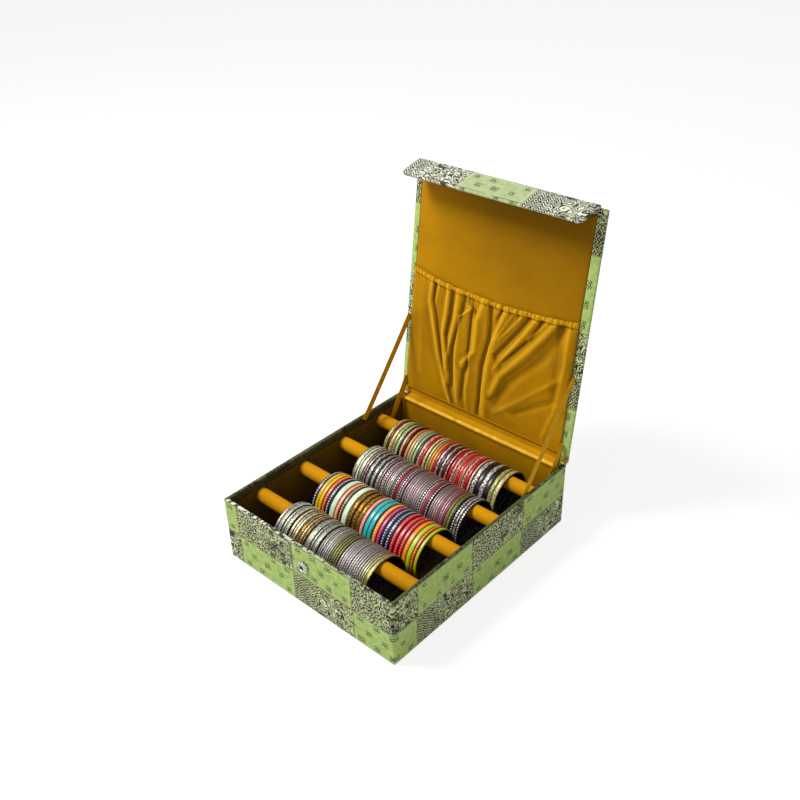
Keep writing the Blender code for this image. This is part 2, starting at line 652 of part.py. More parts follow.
def flap_strip(strip):
    half_x = FLAP_WIDTH / 2 - SPINE_INSET
    slab("flap_hinge_cloth", (-half_x, STRIP_END_CLEAR, -STRIP_CLOTH / 2),
         (half_x, STRIP_LENGTH - STRIP_END_CLEAR, STRIP_CLOTH / 2), brocade, strip)


def strip_outline(path, thickness):
    """Give a path of (y, z) points a thickness, half to each side."""
    left = []
    right = []
    for i, point in enumerate(path):
        before = Vector(path[max(i - 1, 0)])
        after = Vector(path[min(i + 1, len(path) - 1)])
        along = (after - before).normalized()
        normal = Vector((-along.y, along.x)) * thickness / 2
        left.append(tuple(Vector(point) + normal))
        right.append(tuple(Vector(point) - normal))
    return left + right[::-1]


def curve_points(start, start_way, end, end_way, steps):
    """Points of a smooth bend from start to end, leaving and arriving along the given ways."""
    p0 = Vector(start)
    p1 = p0 + Vector(start_way)
    p3 = Vector(end)
    p2 = p3 - Vector(end_way)
    points = []
    for k in range(steps + 1):
        t = k / steps
        point = p0 * (1 - t) ** 3 + p1 * 3 * t * (1 - t) ** 2 + p2 * 3 * t ** 2 * (1 - t) + p3 * t ** 3
        points.append(tuple(point))
    return points


def lid_yz(s, n):
    point = lid_point(0.0, s, n)
    return (point.y, point.z)


def hinge_cloths():
    half = SPINE_CLOTH / 2 + SEAT_GAP
    rear_face = HALF_DEPTH + half
    foot = (rear_face, BOX_HEIGHT - SPINE_DOWN)
    bend_low = (rear_face, BOX_HEIGHT - SPINE_BEND_DROP)
    bend_high = lid_yz(SPINE_CLOTH, LID_BACK - half)
    head = lid_yz(SPINE_UP, LID_BACK - half)
    rise = (bend_high[1] - bend_low[1]) / 2
    lean = math.radians(LID_LEAN_DEG)
    path = [foot] + curve_points(bend_low, (0.0, rise), bend_high, (rise * math.sin(lean), rise), ARC_STEPS)
    path.append(head)
    half_x = HALF_WIDTH - SPINE_INSET
    prism("spine_cloth", strip_outline(path, SPINE_CLOTH), -half_x, half_x, brocade, along="x")
    half = HINGE_CLOTH / 2
    start = (HALF_DEPTH - HINGE_CLOTH_RADIUS + half, BOX_HEIGHT + SEAT_GAP)
    end = lid_yz(HINGE_CLOTH_RADIUS + half, LID_FACE_RISE + half + SEAT_GAP)
    swing = HINGE_CLOTH_RADIUS * HINGE_CLOTH_SWING_SHARE
    bend = curve_points(start, (0.0, swing), end, (swing * math.cos(lean), swing * math.sin(lean)), ARC_STEPS)
    half_x = HALF_WIDTH - HINGE_CLOTH_INSET
    prism("inner_hinge_cloth", strip_outline(bend[:-1], HINGE_CLOTH), -half_x, half_x, velvet, along="x")


def strap(name, foot, lid_up, lid_x, width, side, material):
    """A flat ribbon from a side wall up to the lid; its upper end is cut along the lid."""
    level = LINING_FACE + SEAT_GAP + RIBBON_THICK / 2
    head = lid_point(side * lid_x, lid_up, level)
    foot = Vector((side * foot[0], foot[1], foot[2]))
    along = (head - foot).normalized()
    flat = Vector((0.0, along.y, along.z)).normalized()
    across = Vector((0.0, -flat.z, flat.y)) * width / 2
    lid_way = lid_point(0.0, 1.0, 0.0) - lid_point(0.0, 0.0, 0.0)
    slope = abs(Vector((0.0, -flat.z, flat.y)).dot(lid_way))
    end = lid_way * (width / 2 / slope)
    thick = Vector((RIBBON_THICK / 2, 0.0, 0.0))
    loops = [
        [foot - across - thick, foot - across + thick, foot + across + thick, foot + across - thick],
        [head - end - thick, head - end + thick, head + end + thick, head + end - thick],
    ]
    return add_object(name, loft(loops), material)


def ribbons_and_tapes():
    ribbon_x = HALF_WIDTH - TURN_IN_FACE - SEAT_GAP - RIBBON_THICK / 2
    ribbon_foot = (ribbon_x, HALF_DEPTH - RIBBON_FOOT_AHEAD, BOX_HEIGHT - RIBBON_FOOT_DROP)
    tape_x = HALF_WIDTH - SIDE_LINER_FACE - SEAT_GAP - RIBBON_THICK / 2
    tape_foot = (tape_x, HALF_DEPTH - TAPE_FOOT_AHEAD, BOX_HEIGHT - TAPE_FOOT_DROP)
    lid_x = HALF_WIDTH - RIBBON_LID_INSET
    for label, side in (("left", -1.0), ("right", 1.0)):
        strap("stay_ribbon_" + label, ribbon_foot, RIBBON_LID_UP, lid_x, RIBBON_WIDTH, side, ribbon)
        strap("corner_tape_" + label, tape_foot, TAPE_LID_UP, lid_x, TAPE_WIDTH, side, ribbon)


def bangle_profile(start, end, count):
    """Section of a set of bands: a plain bore, and outside one crown for each band."""
    inner = BANGLE_INNER / math.cos(math.pi / BANGLE_SIDES)
    crown = inner + BANGLE_BAND
    groove = crown - BANGLE_GROOVE
    width = (end - start) / count
    rise = min(BANGLE_CHAMFER, width / 4)
    profile = [(end, inner), (start, inner), (start, groove)]
    for k in range(count):
        left = start + width * k
        if count <= 3:
            profile.append((left + rise, crown))
            profile.append((left + width - rise, crown))
        else:
            profile.append((left + width / 2, crown))
        profile.append((left + width, groove))
    return profile


def roll(number, y):
    """A wooden core in a velvet sleeve, at rest in the notches of the side liners."""
    seat = axis_empty("roll_%d_seat" % number, (0.0, y, ROLL_HEIGHT))
    along = (1.0, 0.0, 0.0)
    centre = (0.0, 0.0, 0.0)
    core_radius = ROLL_RADIUS - SLEEVE_CLOTH - SEAT_GAP
    core = [
        (-ROLL_HALF, core_radius - ROLL_EDGE),
        (-ROLL_HALF + ROLL_EDGE, core_radius),
        (ROLL_HALF - ROLL_EDGE, core_radius),
        (ROLL_HALF, core_radius - ROLL_EDGE),
    ]
    turned("roll_%d_core" % number, core, ROLL_SIDES, centre, along, wood, seat)
    half = ROLL_HALF - SLEEVE_SHORT
    bore = (core_radius + SEAT_GAP) / math.cos(math.pi / ROLL_SIDES)
    sleeve = [
        (-half, bore),
        (-half, ROLL_RADIUS - SLEEVE_SHORT),
        (-half + SLEEVE_SHORT, ROLL_RADIUS),
        (half - SLEEVE_SHORT, ROLL_RADIUS),
        (half, ROLL_RADIUS - SLEEVE_SHORT),
        (half, bore),
    ]
    turned("roll_%d_sleeve" % number, sleeve, ROLL_SIDES, centre, along, roll_velvet, seat, bore=True)
    return seat


def bangle_sets(number, seat, set_shares, tints):
    """The stacks of bangles that hang on one roll, each stack a set of bands side by side."""
    for letter, (start, end, count), tint in zip("abcde", set_shares, tints):
        left = -ROLL_HALF + 2.0 * ROLL_HALF * start
        right = -ROLL_HALF + 2.0 * ROLL_HALF * end - BANGLE_SET_GAP
        name = "roll_%d_bangles_%s" % (number, letter)
        metal = finish_material(name + "_enamel", tint, 0.35, 0.6)
        turned(name, bangle_profile(left, right, count), BANGLE_SIDES, (0.0, 0.0, -BANGLE_DROP),
               (1.0, 0.0, 0.0), metal, seat, bore=True)


clear_scene()
brocade = finish_material("green_brocade", GREEN_BROCADE, 0.75)
velvet = finish_material("mustard_velvet", MUSTARD_VELVET, 0.90)
roll_velvet = finish_material("roll_velvet", ROLL_VELVET, 0.85)
board = finish_material("grey_board", GREY_BOARD, 0.90)
paper = finish_material("pale_paper", PALE_PAPER, 0.85)
nickel = finish_material("nickel", NICKEL, 0.25, 1.0)
wood = finish_material("turned_wood", TURNED_WOOD, 0.60)
ribbon = finish_material("gold_ribbon", GOLD_RIBBON, 0.55)
cutter_material = finish_material("cutter", PALE_PAPER, 1.0)

wrap_object = base_wrap()
front_board = base_walls()
base_liners()
press_socket(front_board, wrap_object)

lid_hinge = axis_empty("lid_hinge_axis", (0.0, HINGE_Y, HINGE_Z), 90.0 - LID_LEAN_DEG)
lid_shell(lid_hinge)
lid_pocket(lid_hinge)
strip_axis = axis_empty("flap_strip_axis", (0.0, FOLD_AXIS_S, LID_MIDDLE), STRIP_FOLD_DEG, lid_hinge)
flap_strip(strip_axis)
flap_axis = axis_empty("flap_fold_axis", (0.0, STRIP_LENGTH, 0.0), FLAP_FOLD_DEG, strip_axis)
flap_core, flap_inside = flap_shell(flap_axis)
press_stud(flap_axis, flap_core, flap_inside)

hinge_cloths()
ribbons_and_tapes()
for number, (y, set_shares, tints) in enumerate(zip(roll_places(), BANGLE_SET_SHARES, BANGLE_TINTS), 1):
    bangle_sets(number, roll(number, y), set_shares, tints)
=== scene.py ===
import json
import math
import random

import bmesh
import bpy
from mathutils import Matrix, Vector, noise


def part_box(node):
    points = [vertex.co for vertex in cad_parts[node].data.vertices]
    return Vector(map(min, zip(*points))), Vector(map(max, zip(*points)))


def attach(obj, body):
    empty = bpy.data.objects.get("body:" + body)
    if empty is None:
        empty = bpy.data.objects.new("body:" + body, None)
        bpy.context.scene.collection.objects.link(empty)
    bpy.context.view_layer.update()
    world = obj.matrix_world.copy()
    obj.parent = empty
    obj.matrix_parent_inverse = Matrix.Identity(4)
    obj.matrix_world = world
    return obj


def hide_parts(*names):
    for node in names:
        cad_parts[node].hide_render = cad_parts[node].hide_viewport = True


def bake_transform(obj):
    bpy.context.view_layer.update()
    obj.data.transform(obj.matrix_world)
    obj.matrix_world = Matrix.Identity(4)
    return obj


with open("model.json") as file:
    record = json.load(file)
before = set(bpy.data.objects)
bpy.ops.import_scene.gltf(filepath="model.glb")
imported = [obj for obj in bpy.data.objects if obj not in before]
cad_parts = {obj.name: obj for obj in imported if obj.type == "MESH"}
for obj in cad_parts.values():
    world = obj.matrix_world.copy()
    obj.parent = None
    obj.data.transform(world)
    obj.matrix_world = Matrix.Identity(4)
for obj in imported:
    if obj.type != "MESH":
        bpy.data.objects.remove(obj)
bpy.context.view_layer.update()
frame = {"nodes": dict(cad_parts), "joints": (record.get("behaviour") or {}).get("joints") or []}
nodes = frame["nodes"]
joints = {joint["name"]: joint for joint in frame["joints"]}
mm = 0.001

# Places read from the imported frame
halfWidth, halfDepth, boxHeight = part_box("outer_wrap")[1]
hingeY, hingeZ = joints["lid_hinge"]["pos_m"][1:]
stripAxis = Vector(joints["flap_strip_fold"]["pos_m"])
flapAxis = Vector(joints["flap_fold"]["pos_m"])
lidLean = math.radians(7.5)


def lidPoint(x, s, n):
    # s runs up the open lid from its hinge, n towards its inside
    y = hingeY + s * math.sin(lidLean) - n * math.cos(lidLean)
    z = hingeZ + s * math.cos(lidLean) + n * math.sin(lidLean)
    return Vector((x, y, z))


class Signal:
    # a socket that can be reckoned with: each operation adds one node to its tree
    def __init__(self, kit, socket):
        self.kit = kit
        self.socket = socket

    def __rsub__(self, other):
        return self.kit.calc("SUBTRACT", other, self)


def reckon(operation):
    return lambda signal, *others: signal.kit.calc(operation, signal, *others)


for method, operation in {
    "__add__": "ADD", "__sub__": "SUBTRACT", "__mul__": "MULTIPLY", "__truediv__": "DIVIDE",
    "__mod__": "FLOORED_MODULO", "__gt__": "GREATER_THAN", "__lt__": "LESS_THAN", "__abs__": "ABSOLUTE",
    "floor": "FLOOR", "fract": "FRACT", "pingPong": "PINGPONG", "sine": "SINE", "root": "SQRT",
    "maximum": "MAXIMUM", "minimum": "MINIMUM",
}.items():
    setattr(Signal, method, reckon(operation))


class NodeKit:
    def __init__(self, tree):
        self.tree = tree

    def feed(self, socket, value):
        value = getattr(value, "socket", value)
        if isinstance(value, bpy.types.NodeSocket):
            self.tree.links.new(value, socket)
        elif value is not None:
            socket.default_value = value

    def fill(self, node, feeds):
        # feeds: what goes into each input, by the input's name or number
        for key, value in dict(feeds).items():
            self.feed(node.inputs[key], value)

    def node(self, kind, feeds=(), **settings):
        node = self.tree.nodes.new(kind)
        for key, value in settings.items():
            setattr(node, key, value)
        self.fill(node, feeds)
        return node

    def signal(self, kind, feeds=(), output=0, **settings):
        return Signal(self, self.node(kind, feeds, **settings).outputs[output])

    def calc(self, operation, *values):
        return self.signal("ShaderNodeMath", enumerate(values), operation=operation)

    def mix(self, share, first, second):
        return self.signal("ShaderNodeMix", {0: share, 6: first, 7: second}, 2, data_type="RGBA")

    def either(self, share, first, second):
        return first * (1.0 - share) + second * share

    def fade(self, value, low, high, outLow=0.0, outHigh=1.0):
        return self.signal("ShaderNodeMapRange", enumerate((value, low, high, outLow, outHigh)))

    def noise(self, vector, scale, detail=2.0, rough=0.5, twist=0.0):
        feeds = {"Vector": vector, "Scale": scale, "Detail": detail, "Roughness": rough, "Distortion": twist}
        return self.signal("ShaderNodeTexNoise", feeds, "Fac")

    def cells(self, vector, scale, output="Distance", randomness=1.0, **settings):
        feeds = {"Vector": vector, "Scale": scale, "Randomness": randomness}
        return self.signal("ShaderNodeTexVoronoi", feeds, output, **settings)

    def vector(self, x, y, z=0.0):
        return self.signal("ShaderNodeCombineXYZ", enumerate((x, y, z)))

    def split(self, vector):
        return [Signal(self, output) for output in self.node("ShaderNodeSeparateXYZ", {0: vector}).outputs]

    def uvMap(self, name):
        return self.signal("ShaderNodeUVMap", uv_map=name)

    def place(self):
        return self.signal("ShaderNodeTexCoord", output="Object")

    def attribute(self, name, output):
        return self.signal("ShaderNodeAttribute", output=output, attribute_name=name)

    def bump(self, height, strength, distance, after=None):
        feeds = {"Height": height, "Strength": strength, "Distance": distance, "Normal": after}
        return self.signal("ShaderNodeBump", feeds)


def newMaterial(name, roughness, metallic=0.0, sheen=0.0, sheenTint=(1.0, 1.0, 1.0), specular=0.5, coat=0.0):
    material = bpy.data.materials.new(name)
    material.use_nodes = True
    kit = NodeKit(material.node_tree)
    shader = material.node_tree.nodes["Principled BSDF"]
    kit.fill(shader, {
        "Roughness": roughness, "Metallic": metallic, "Sheen Weight": sheen, "Sheen Tint": (*sheenTint, 1.0),
        "Specular IOR Level": specular, "Coat Weight": coat,
    })
    return material, kit, shader


def rgb(red, green, blue):
    # a colour read off a screen, 0 to 255, made linear
    return tuple((value / 255.0) ** 2.2 for value in (red, green, blue)) + (1.0,)


def darkened(colour, share):
    return tuple(value * share for value in colour[:3]) + (1.0,)


# Brocade: a checkerboard of lime panels with small motifs and of dense grey and cream ones.
# It reads the piece's own UV map, in metres along and up the cloth.
brocadeLook = {
    "cellWidth": 91 * mm,
    "cellHeight": 41.7 * mm,
    "firstSeam": 20 * mm,
    "lime": rgb(176, 200, 118),
    "limeDeep": rgb(134, 158, 76),
    "cream": rgb(214, 218, 172),
    "grey": rgb(96, 102, 60),
    "ink": rgb(14, 15, 9),
    "threadPitch": 0.55 * mm,
    "wobble": 0.9 * mm,
    "mazeCell": 15 * mm,
    "boneWidth": 5.2 * mm,
    "boneRise": 3.6 * mm,
    "ribPitch": 0.9 * mm,
    "motifPitch": 0.25,
    "motifRows": 2.9,
    "motifCell": (22.75, 14.4),
    # painted highlight on the front's top edge, painted shade on the other top edges and on the cloth turned in
    "rimHighlightTints": (rgb(226, 224, 208), rgb(156, 160, 124)),
    "shadedRim": rgb(40, 36, 12),
    "insideRimShade": rgb(52, 40, 8),
}


def brocadeMaterial(name, look, edgeBand=False):
    material, kit, shader = newMaterial(name, 0.62, sheen=0.06, sheenTint=(0.9, 0.95, 0.7), specular=0.16)
    uv = kit.uvMap("cloth")
    along, up, _ = kit.split(uv)
    column = (along - look["firstSeam"]) / look["cellWidth"]
    row = up / look["cellHeight"]
    columnNumber, rowNumber = column.floor(), row.floor()
    across, rise = column - columnNumber, row - rowNumber
    isDense = (columnNumber + rowNumber) % 2.0 > 0.5
    lowerRow = rowNumber % 2.0 < 0.5
    wobble = kit.noise(uv, 260.0)
    shift = (wobble - 0.5) * look["wobble"]
    wobbled = kit.signal("ShaderNodeVectorMath", {0: uv, 1: kit.vector(shift, shift)}, operation="ADD")
    alongW, upW, _ = kit.split(wobbled)

    # fine weave with scattered cream dots
    fineNoise = kit.noise(uv, 480.0, 1.0)
    fine = kit.fade(fineNoise, 0.48, 0.54).maximum(kit.fade(kit.cells(uv, 75.0), 0.17, 0.11))

    # maze of cream blocks, turned on its corner
    cornerX, cornerY = [abs((v / look["mazeCell"]).fract() - 0.5) for v in (alongW, upW)]
    maze = kit.fade(((cornerX + cornerY) * 2.5).fract(), 0.48, 0.56)
    nests = (kit.cells(uv, 120.0, randomness=0.75, distance="CHEBYCHEV") * 3.1).fract()
    maze = maze * 0.28 + kit.fade(nests, 0.44, 0.54) * 0.72
    maze = maze * kit.fade(kit.noise(uv, 330.0, 1.0), 0.38, 0.44)

    # curling scrolls and herringbone
    scroll = kit.fade((kit.noise(uv, 92.0, 0.6, 0.4, 1.1) * 13.0).pingPong(1.0), 0.44, 0.58)
    bones = ((upW + alongW.pingPong(look["boneWidth"])) / look["boneRise"]).fract()
    herring = kit.fade(bones, 0.44, 0.56) * kit.fade(kit.noise(uv, 420.0, 1.0), 0.38, 0.46)

    uneven = across + wobble * 0.10
    upperDense = kit.either(uneven > 0.60, fine, maze)
    lowerDense = kit.either(uneven > 0.42, herring, scroll)
    dense = kit.either(lowerRow, upperDense, lowerDense)
    pale = kit.mix(kit.fade(kit.noise(uv, 60.0), 0.35, 0.65, 0.55, 1.0), look["grey"], look["cream"])
    pale = kit.mix(kit.fade(kit.noise(uv, 120.0, 1.0), 0.47, 0.58, 0.0, 0.5), pale, look["lime"])
    inky = kit.mix(kit.fade(fineNoise, 0.40, 0.62, 0.0, 0.40), look["ink"], look["grey"])

    # lime panels: a fine rib, a soft frame line, and small staggered motifs of dark diamonds
    ribs = along.pingPong(look["ribPitch"]) / look["ribPitch"]
    limeShare = ribs * 0.2 + kit.fade(kit.noise(uv, 170.0, 4.0, 0.7), 0.38, 0.66, 0.0, 0.7)
    lime = kit.mix(limeShare, look["lime"], look["limeDeep"])
    motifRows = rise * look["motifRows"]
    motifRow = motifRows.floor()
    motifAcross = across / look["motifPitch"] + motifRow % 2.0 * 0.5
    localX = abs(motifAcross.fract() - 0.5) * look["motifCell"][0]
    localY = abs(motifRows.fract() - 0.5) * look["motifCell"][1]
    motifSeed = kit.signal("ShaderNodeTexWhiteNoise", {
        "Vector": kit.vector(motifAcross.floor(), motifRow, columnNumber + rowNumber),
    }, "Value", noise_dimensions="3D")
    grain = ((localX + localY) / 3.4).fract()
    inMotif = localX.maximum(localY * 1.25) < kit.fade(motifSeed, 0.0, 1.0, 2.8, 5.2)
    specks = kit.fade(kit.noise(uv, 560.0, 1.0), 0.36, 0.44)
    motif = inMotif * (grain > 0.42) * specks * (motifSeed > 0.26)
    lime = kit.mix(motif * 0.92, lime, look["ink"])
    frameX = (0.5 - abs(across - 0.5)) * (look["cellWidth"] / mm)
    frameY = (0.5 - abs(rise - 0.5)) * (look["cellHeight"] / mm)
    fromEdge = frameX.minimum(frameY)
    frameLine = (fromEdge > 3.0) * (fromEdge < 3.9)
    lime = kit.mix(frameLine * 0.45, lime, look["cream"])
    lime = kit.mix(kit.fade(fromEdge, 2.6, 0.4, 0.0, 0.7), lime, look["grey"])

    colour = kit.mix(isDense, lime, kit.mix(dense, inky, pale))
    relief = dense * isDense + motif * 0.6
    if edgeBand:
        # painted light on the top edge: along the front a pale band, broken by dark dashes, is a painted highlight
        # that fades to the right; on the other walls the edge gets painted shade, and so does the cloth turned in
        # below it
        onTop = kit.fade(up, 83.0 * mm, 83.5 * mm) * kit.fade(up, 88.6 * mm, 88.0 * mm)
        onFront = along < 2.0 * halfWidth
        dashes = kit.fade(kit.noise(kit.vector(along, up * 0.9), 190.0), 0.44, 0.53)
        rimHighlight = kit.mix(kit.fade(along, 60 * mm, 190 * mm), *look["rimHighlightTints"])
        colour = kit.mix(onTop * onFront * 0.9, colour, kit.mix(dashes, look["ink"], rimHighlight))
        colour = kit.mix(onTop * (1.0 - onFront) * 0.82, colour, look["shadedRim"])
        colour = kit.mix(kit.fade(up, 88.2 * mm, 88.8 * mm) * 0.92, colour, look["insideRimShade"])
    warp, weft = [(v * (2.0 * math.pi / look["threadPitch"])).sine() for v in (along, up)]
    kit.fill(shader, {
        "Base Color": colour, "Normal": kit.bump(warp * weft * 0.25 + relief, 0.35, 0.12 * mm),
        "Roughness": kit.fade(relief, 0.0, 1.0, 0.72, 0.48),
    })
    return material


# Velvet: crushed pile with lint flecks; it can take painted shade and painted highlights from its fold attribute, and
# a painted shadow under the flap
velvetLook = {
    "gold": rgb(180, 127, 4),
    "deep": rgb(138, 96, 1),
    # the colour of the painted highlight on crests, and of the lint flecks
    "bright": rgb(226, 168, 34),
    "shade": rgb(84, 57, 0),
    # the colour of the painted shadow under the flap
    "flapShadow": rgb(104, 72, 0),
    "sheenTint": (1.0, 0.74, 0.14),
    "pileScale": 1700.0,
    "crushScale": 13.0,
    "lintScale": 40.0,
}


def velvetMaterial(name, look, gold, deep, sheen=0.05, roughness=0.8, foldShading=False, shadowUnderFlap=False):
    material, kit, shader = newMaterial(name, roughness, sheen=sheen, sheenTint=look["sheenTint"], specular=0.08)
    place = kit.place()
    crush = kit.noise(place, look["crushScale"], 3.0, 0.55, 0.4)
    pile = kit.noise(place, look["pileScale"], 1.5)
    streak = kit.noise(place, 260.0)
    colour = kit.mix(kit.fade(crush, 0.35, 0.68, 0.0, 0.5) + kit.fade(pile, 0.3, 0.7, 0.0, 0.3), gold, deep)
    if foldShading:
        # painted light: a crest is painted lighter (painted highlight) and a valley darker (painted shade), as the
        # mesh's fold attribute says
        fold = kit.attribute("fold", "Fac")
        colour = kit.mix(kit.fade(fold, 0.48, 0.10, 0.0, 0.85), colour, look["shade"])
        colour = kit.mix(kit.fade(fold, 0.58, 1.0, 0.0, 0.75), colour, look["bright"])
    if shadowUnderFlap:
        # painted shadow: the top right part, under the flap, is darkened as if the flap shaded it
        x, _, z = kit.split(place)
        flapShadow = kit.fade(x, -100 * mm, -10 * mm) * kit.fade(z, 225 * mm, 330 * mm)
        colour = kit.mix(flapShadow * 0.62, colour, look["flapShadow"])
    fleck = kit.fade(kit.cells(place, look["lintScale"]), 0.026, 0.014, 0.0, 0.6)
    nap = kit.bump(pile * 0.5 + streak * 0.6, 0.25, 0.15 * mm)
    kit.fill(shader, {
        "Sheen Roughness": 0.35, "Base Color": kit.mix(fleck, colour, look["bright"]),
        "Normal": kit.bump(crush, 0.20, 1.2 * mm, nap),
    })
    return material


def boardMaterial(name, colour, scale):
    material, kit, shader = newMaterial(name, 0.9)
    fibres = kit.noise(kit.place(), scale, 4.0, 0.7)
    colour = kit.mix(kit.fade(fibres, 0.3, 0.7), darkened(colour, 0.7), colour)
    kit.fill(shader, {"Base Color": colour, "Normal": kit.bump(fibres, 0.25, 0.1 * mm)})
    return material


def woodMaterial(name):
    material, kit, shader = newMaterial(name, 0.6)
    x, y, z = kit.split(kit.place())
    grain = kit.noise(kit.vector(x * 0.08, y, z), 900.0, 3.0, 0.6, 0.6)
    colour = kit.mix(grain, rgb(150, 112, 70), rgb(205, 168, 120))
    kit.fill(shader, {"Base Color": colour, "Normal": kit.bump(grain, 0.2, 0.1 * mm)})
    return material


def satinMaterial(name, gold, deep):
    # ribbon: fine cross ribs and a woven edge, on the strap's own UV map (metres)
    material, kit, shader = newMaterial(name, 0.5, sheen=0.05, sheenTint=(1.0, 0.8, 0.2), specular=0.06)
    uv = kit.uvMap("cloth")
    across, along, _ = kit.split(uv)
    ribs = (along * (2.0 * math.pi / (0.7 * mm))).sine()
    edge = kit.fade(abs(across), 2.6 * mm, 3.2 * mm)
    share = edge * 0.5 + kit.fade(kit.noise(uv, 120.0, 3.0), 0.3, 0.7, 0.0, 0.5)
    kit.fill(shader, {"Base Color": kit.mix(share, gold, deep), "Normal": kit.bump(ribs, 0.3, 0.1 * mm)})
    return material


def nickelMaterial(name):
    material, kit, shader = newMaterial(name, 0.2, metallic=1.0)
    place = kit.place()
    wear = kit.noise(place, 420.0, 3.0)
    kit.fill(shader, {
        "Base Color": kit.mix(kit.fade(wear, 0.4, 0.7), rgb(196, 194, 186), rgb(140, 138, 132)),
        "Roughness": kit.fade(wear, 0.3, 0.7, 0.12, 0.30),
        "Normal": kit.bump(kit.noise(place, 1900.0, 1.0), 0.08, 0.05 * mm),
    })
    return material


gold, deep = velvetLook["gold"], velvetLook["deep"]
# a lighter painted highlight colour for the velvet over the hinge
highlightLook = dict(velvetLook, bright=rgb(248, 198, 74))
brocade = brocadeMaterial("brocade", brocadeLook)
brocadeBase = brocadeMaterial("brocadeBase", brocadeLook, edgeBand=True)
# this velvet carries a painted shadow at its top right, under the flap
velvet = velvetMaterial("lidVelvet", velvetLook, gold, deep, shadowUnderFlap=True)
pocketVelvet = velvetMaterial("pocketVelvet", velvetLook, gold, deep, foldShading=True)
# a darker copy of the gold velvet for the liners inside the base: painted shade
shadedBaseVelvet = velvetMaterial("shadedBaseVelvet", velvetLook, rgb(104, 78, 4), rgb(72, 53, 2), sheen=0.02)
railVelvet = velvetMaterial("railVelvet", velvetLook, rgb(166, 118, 5), rgb(128, 90, 2), roughness=0.6, foldShading=True)
# a lighter copy of the gold velvet, for the lid's foot: painted highlight
litHingeVelvet = velvetMaterial("litHingeVelvet", velvetLook, rgb(204, 148, 18), rgb(166, 118, 8), sheen=0.12)
hingeHighlightVelvet = velvetMaterial("hingeHighlightVelvet", highlightLook, rgb(192, 138, 12), rgb(154, 108, 6), sheen=0.10, foldShading=True)
rollVelvet = velvetMaterial("rollVelvet", velvetLook, rgb(206, 144, 16), rgb(172, 114, 8), sheen=0.06)
# brown strawboard, darkened past its own colour so that where it shows in the notches it reads as shade: partly
# painted shade
board = boardMaterial("strawBoard", rgb(96, 72, 30), 320.0)
paper = boardMaterial("liningPaper", rgb(206, 202, 192), 620.0)
wood = woodMaterial("rollWood")
satin = satinMaterial("goldSatin", rgb(214, 158, 14), rgb(168, 120, 8))
nickel = nickelMaterial("nickelPlate")
# the dark inside the press stud's socket: painted shade
holeShade = boardMaterial("socketHoleShade", rgb(34, 32, 30), 900.0)
print("materials made")


# Studio: pale floor, white surround, soft key from the front left, camera as in the photograph
studio = {
    "cameraPlace": (0.597345, -0.629172, 0.748829),
    "cameraTurnDeg": (57.4086, 1.5263, 42.1646),
    "lens": 42.801,
    "sensor": 36.0,
    "lights": {
        "keyLight": ((-0.95, -0.75, 1.8), 0.7, 44.0),
        "fillLight": ((1.5, -0.9, 1.1), 1.6, 5.0),
    },
    "lightsAim": (0.0, 0.0, 0.12),
    "ambient": 0.36,
    "floorReach": 5.0,
    "floorDrop": 0.5 * mm,
    "floorGrey": (0.80, 0.80, 0.80, 1.0),
    "floorShownGrey": (0.30, 0.30, 0.30, 1.0),
    "floorGlow": 0.80,
}


def linkObject(name, data, material=None):
    piece = bpy.data.objects.new(name, data)
    if material:
        data.materials.append(material)
    bpy.context.scene.collection.objects.link(piece)
    return piece


def shownDirectly(kit):
    path = kit.node("ShaderNodeLightPath")
    camera, glossy, through = [Signal(kit, path.outputs["Is %s Ray" % kind])
                               for kind in ("Camera", "Glossy", "Transmission")]
    return (camera + glossy + through).minimum(1.0)


def buildStudio(look):
    scene = bpy.context.scene
    scene.view_settings.view_transform = "Standard"
    world = bpy.data.worlds.new("whiteRoom")
    scene.world = world
    world.use_nodes = True
    kit = NodeKit(world.node_tree)
    strength = kit.fade(shownDirectly(kit), 0.0, 1.0, look["ambient"], 1.0)
    kit.fill(world.node_tree.nodes["Background"], {"Color": (1.0, 1.0, 1.0, 1.0), "Strength": strength})
    for name, (place, size, power) in look["lights"].items():
        lamp = bpy.data.lights.new(name, "AREA")
        lamp.shape = "DISK"
        lamp.size = size
        lamp.energy = power
        light = linkObject(name, lamp)
        light.location = place
        light.rotation_euler = (Vector(look["lightsAim"]) - Vector(place)).to_track_quat("-Z", "Y").to_euler()

    material = bpy.data.materials.new("paleFloor")
    material.use_nodes = True
    tree = material.node_tree
    tree.nodes.remove(tree.nodes["Principled BSDF"])
    kit = NodeKit(tree)
    plain = kit.signal("ShaderNodeBsdfDiffuse", {0: look["floorGrey"]})
    lit = kit.signal("ShaderNodeBsdfDiffuse", {0: look["floorShownGrey"]})
    glow = kit.signal("ShaderNodeEmission", {"Strength": look["floorGlow"]})
    both = kit.signal("ShaderNodeAddShader", {0: lit, 1: glow})
    shown = kit.signal("ShaderNodeMixShader", {0: shownDirectly(kit), 1: plain, 2: both})
    kit.fill(tree.nodes["Material Output"], {0: shown})
    reach = look["floorReach"]
    corners = ((-reach, -reach), (reach, -reach), (reach, reach), (-reach, reach))
    mesh = bpy.data.meshes.new("floor")
    mesh.from_pydata([(x, y, -look["floorDrop"]) for x, y in corners], [], [(0, 1, 2, 3)])
    floor = linkObject("floor", mesh, material)

    cameraData = bpy.data.cameras.new("photoCamera")
    cameraData.sensor_width = look["sensor"]
    cameraData.lens = look["lens"]
    camera = linkObject("photoCamera", cameraData)
    camera.location = look["cameraPlace"]
    camera.rotation_euler = [math.radians(angle) for angle in look["cameraTurnDeg"]]
    scene.camera = camera


buildStudio(studio)
print("studio built")


# Mesh helpers
quarterTurn = [(math.sin(math.radians(22.5 * k)), math.cos(math.radians(22.5 * k))) for k in range(5)]


def ripple(x, y, z):
    return noise.noise(Vector((x, y, z)))


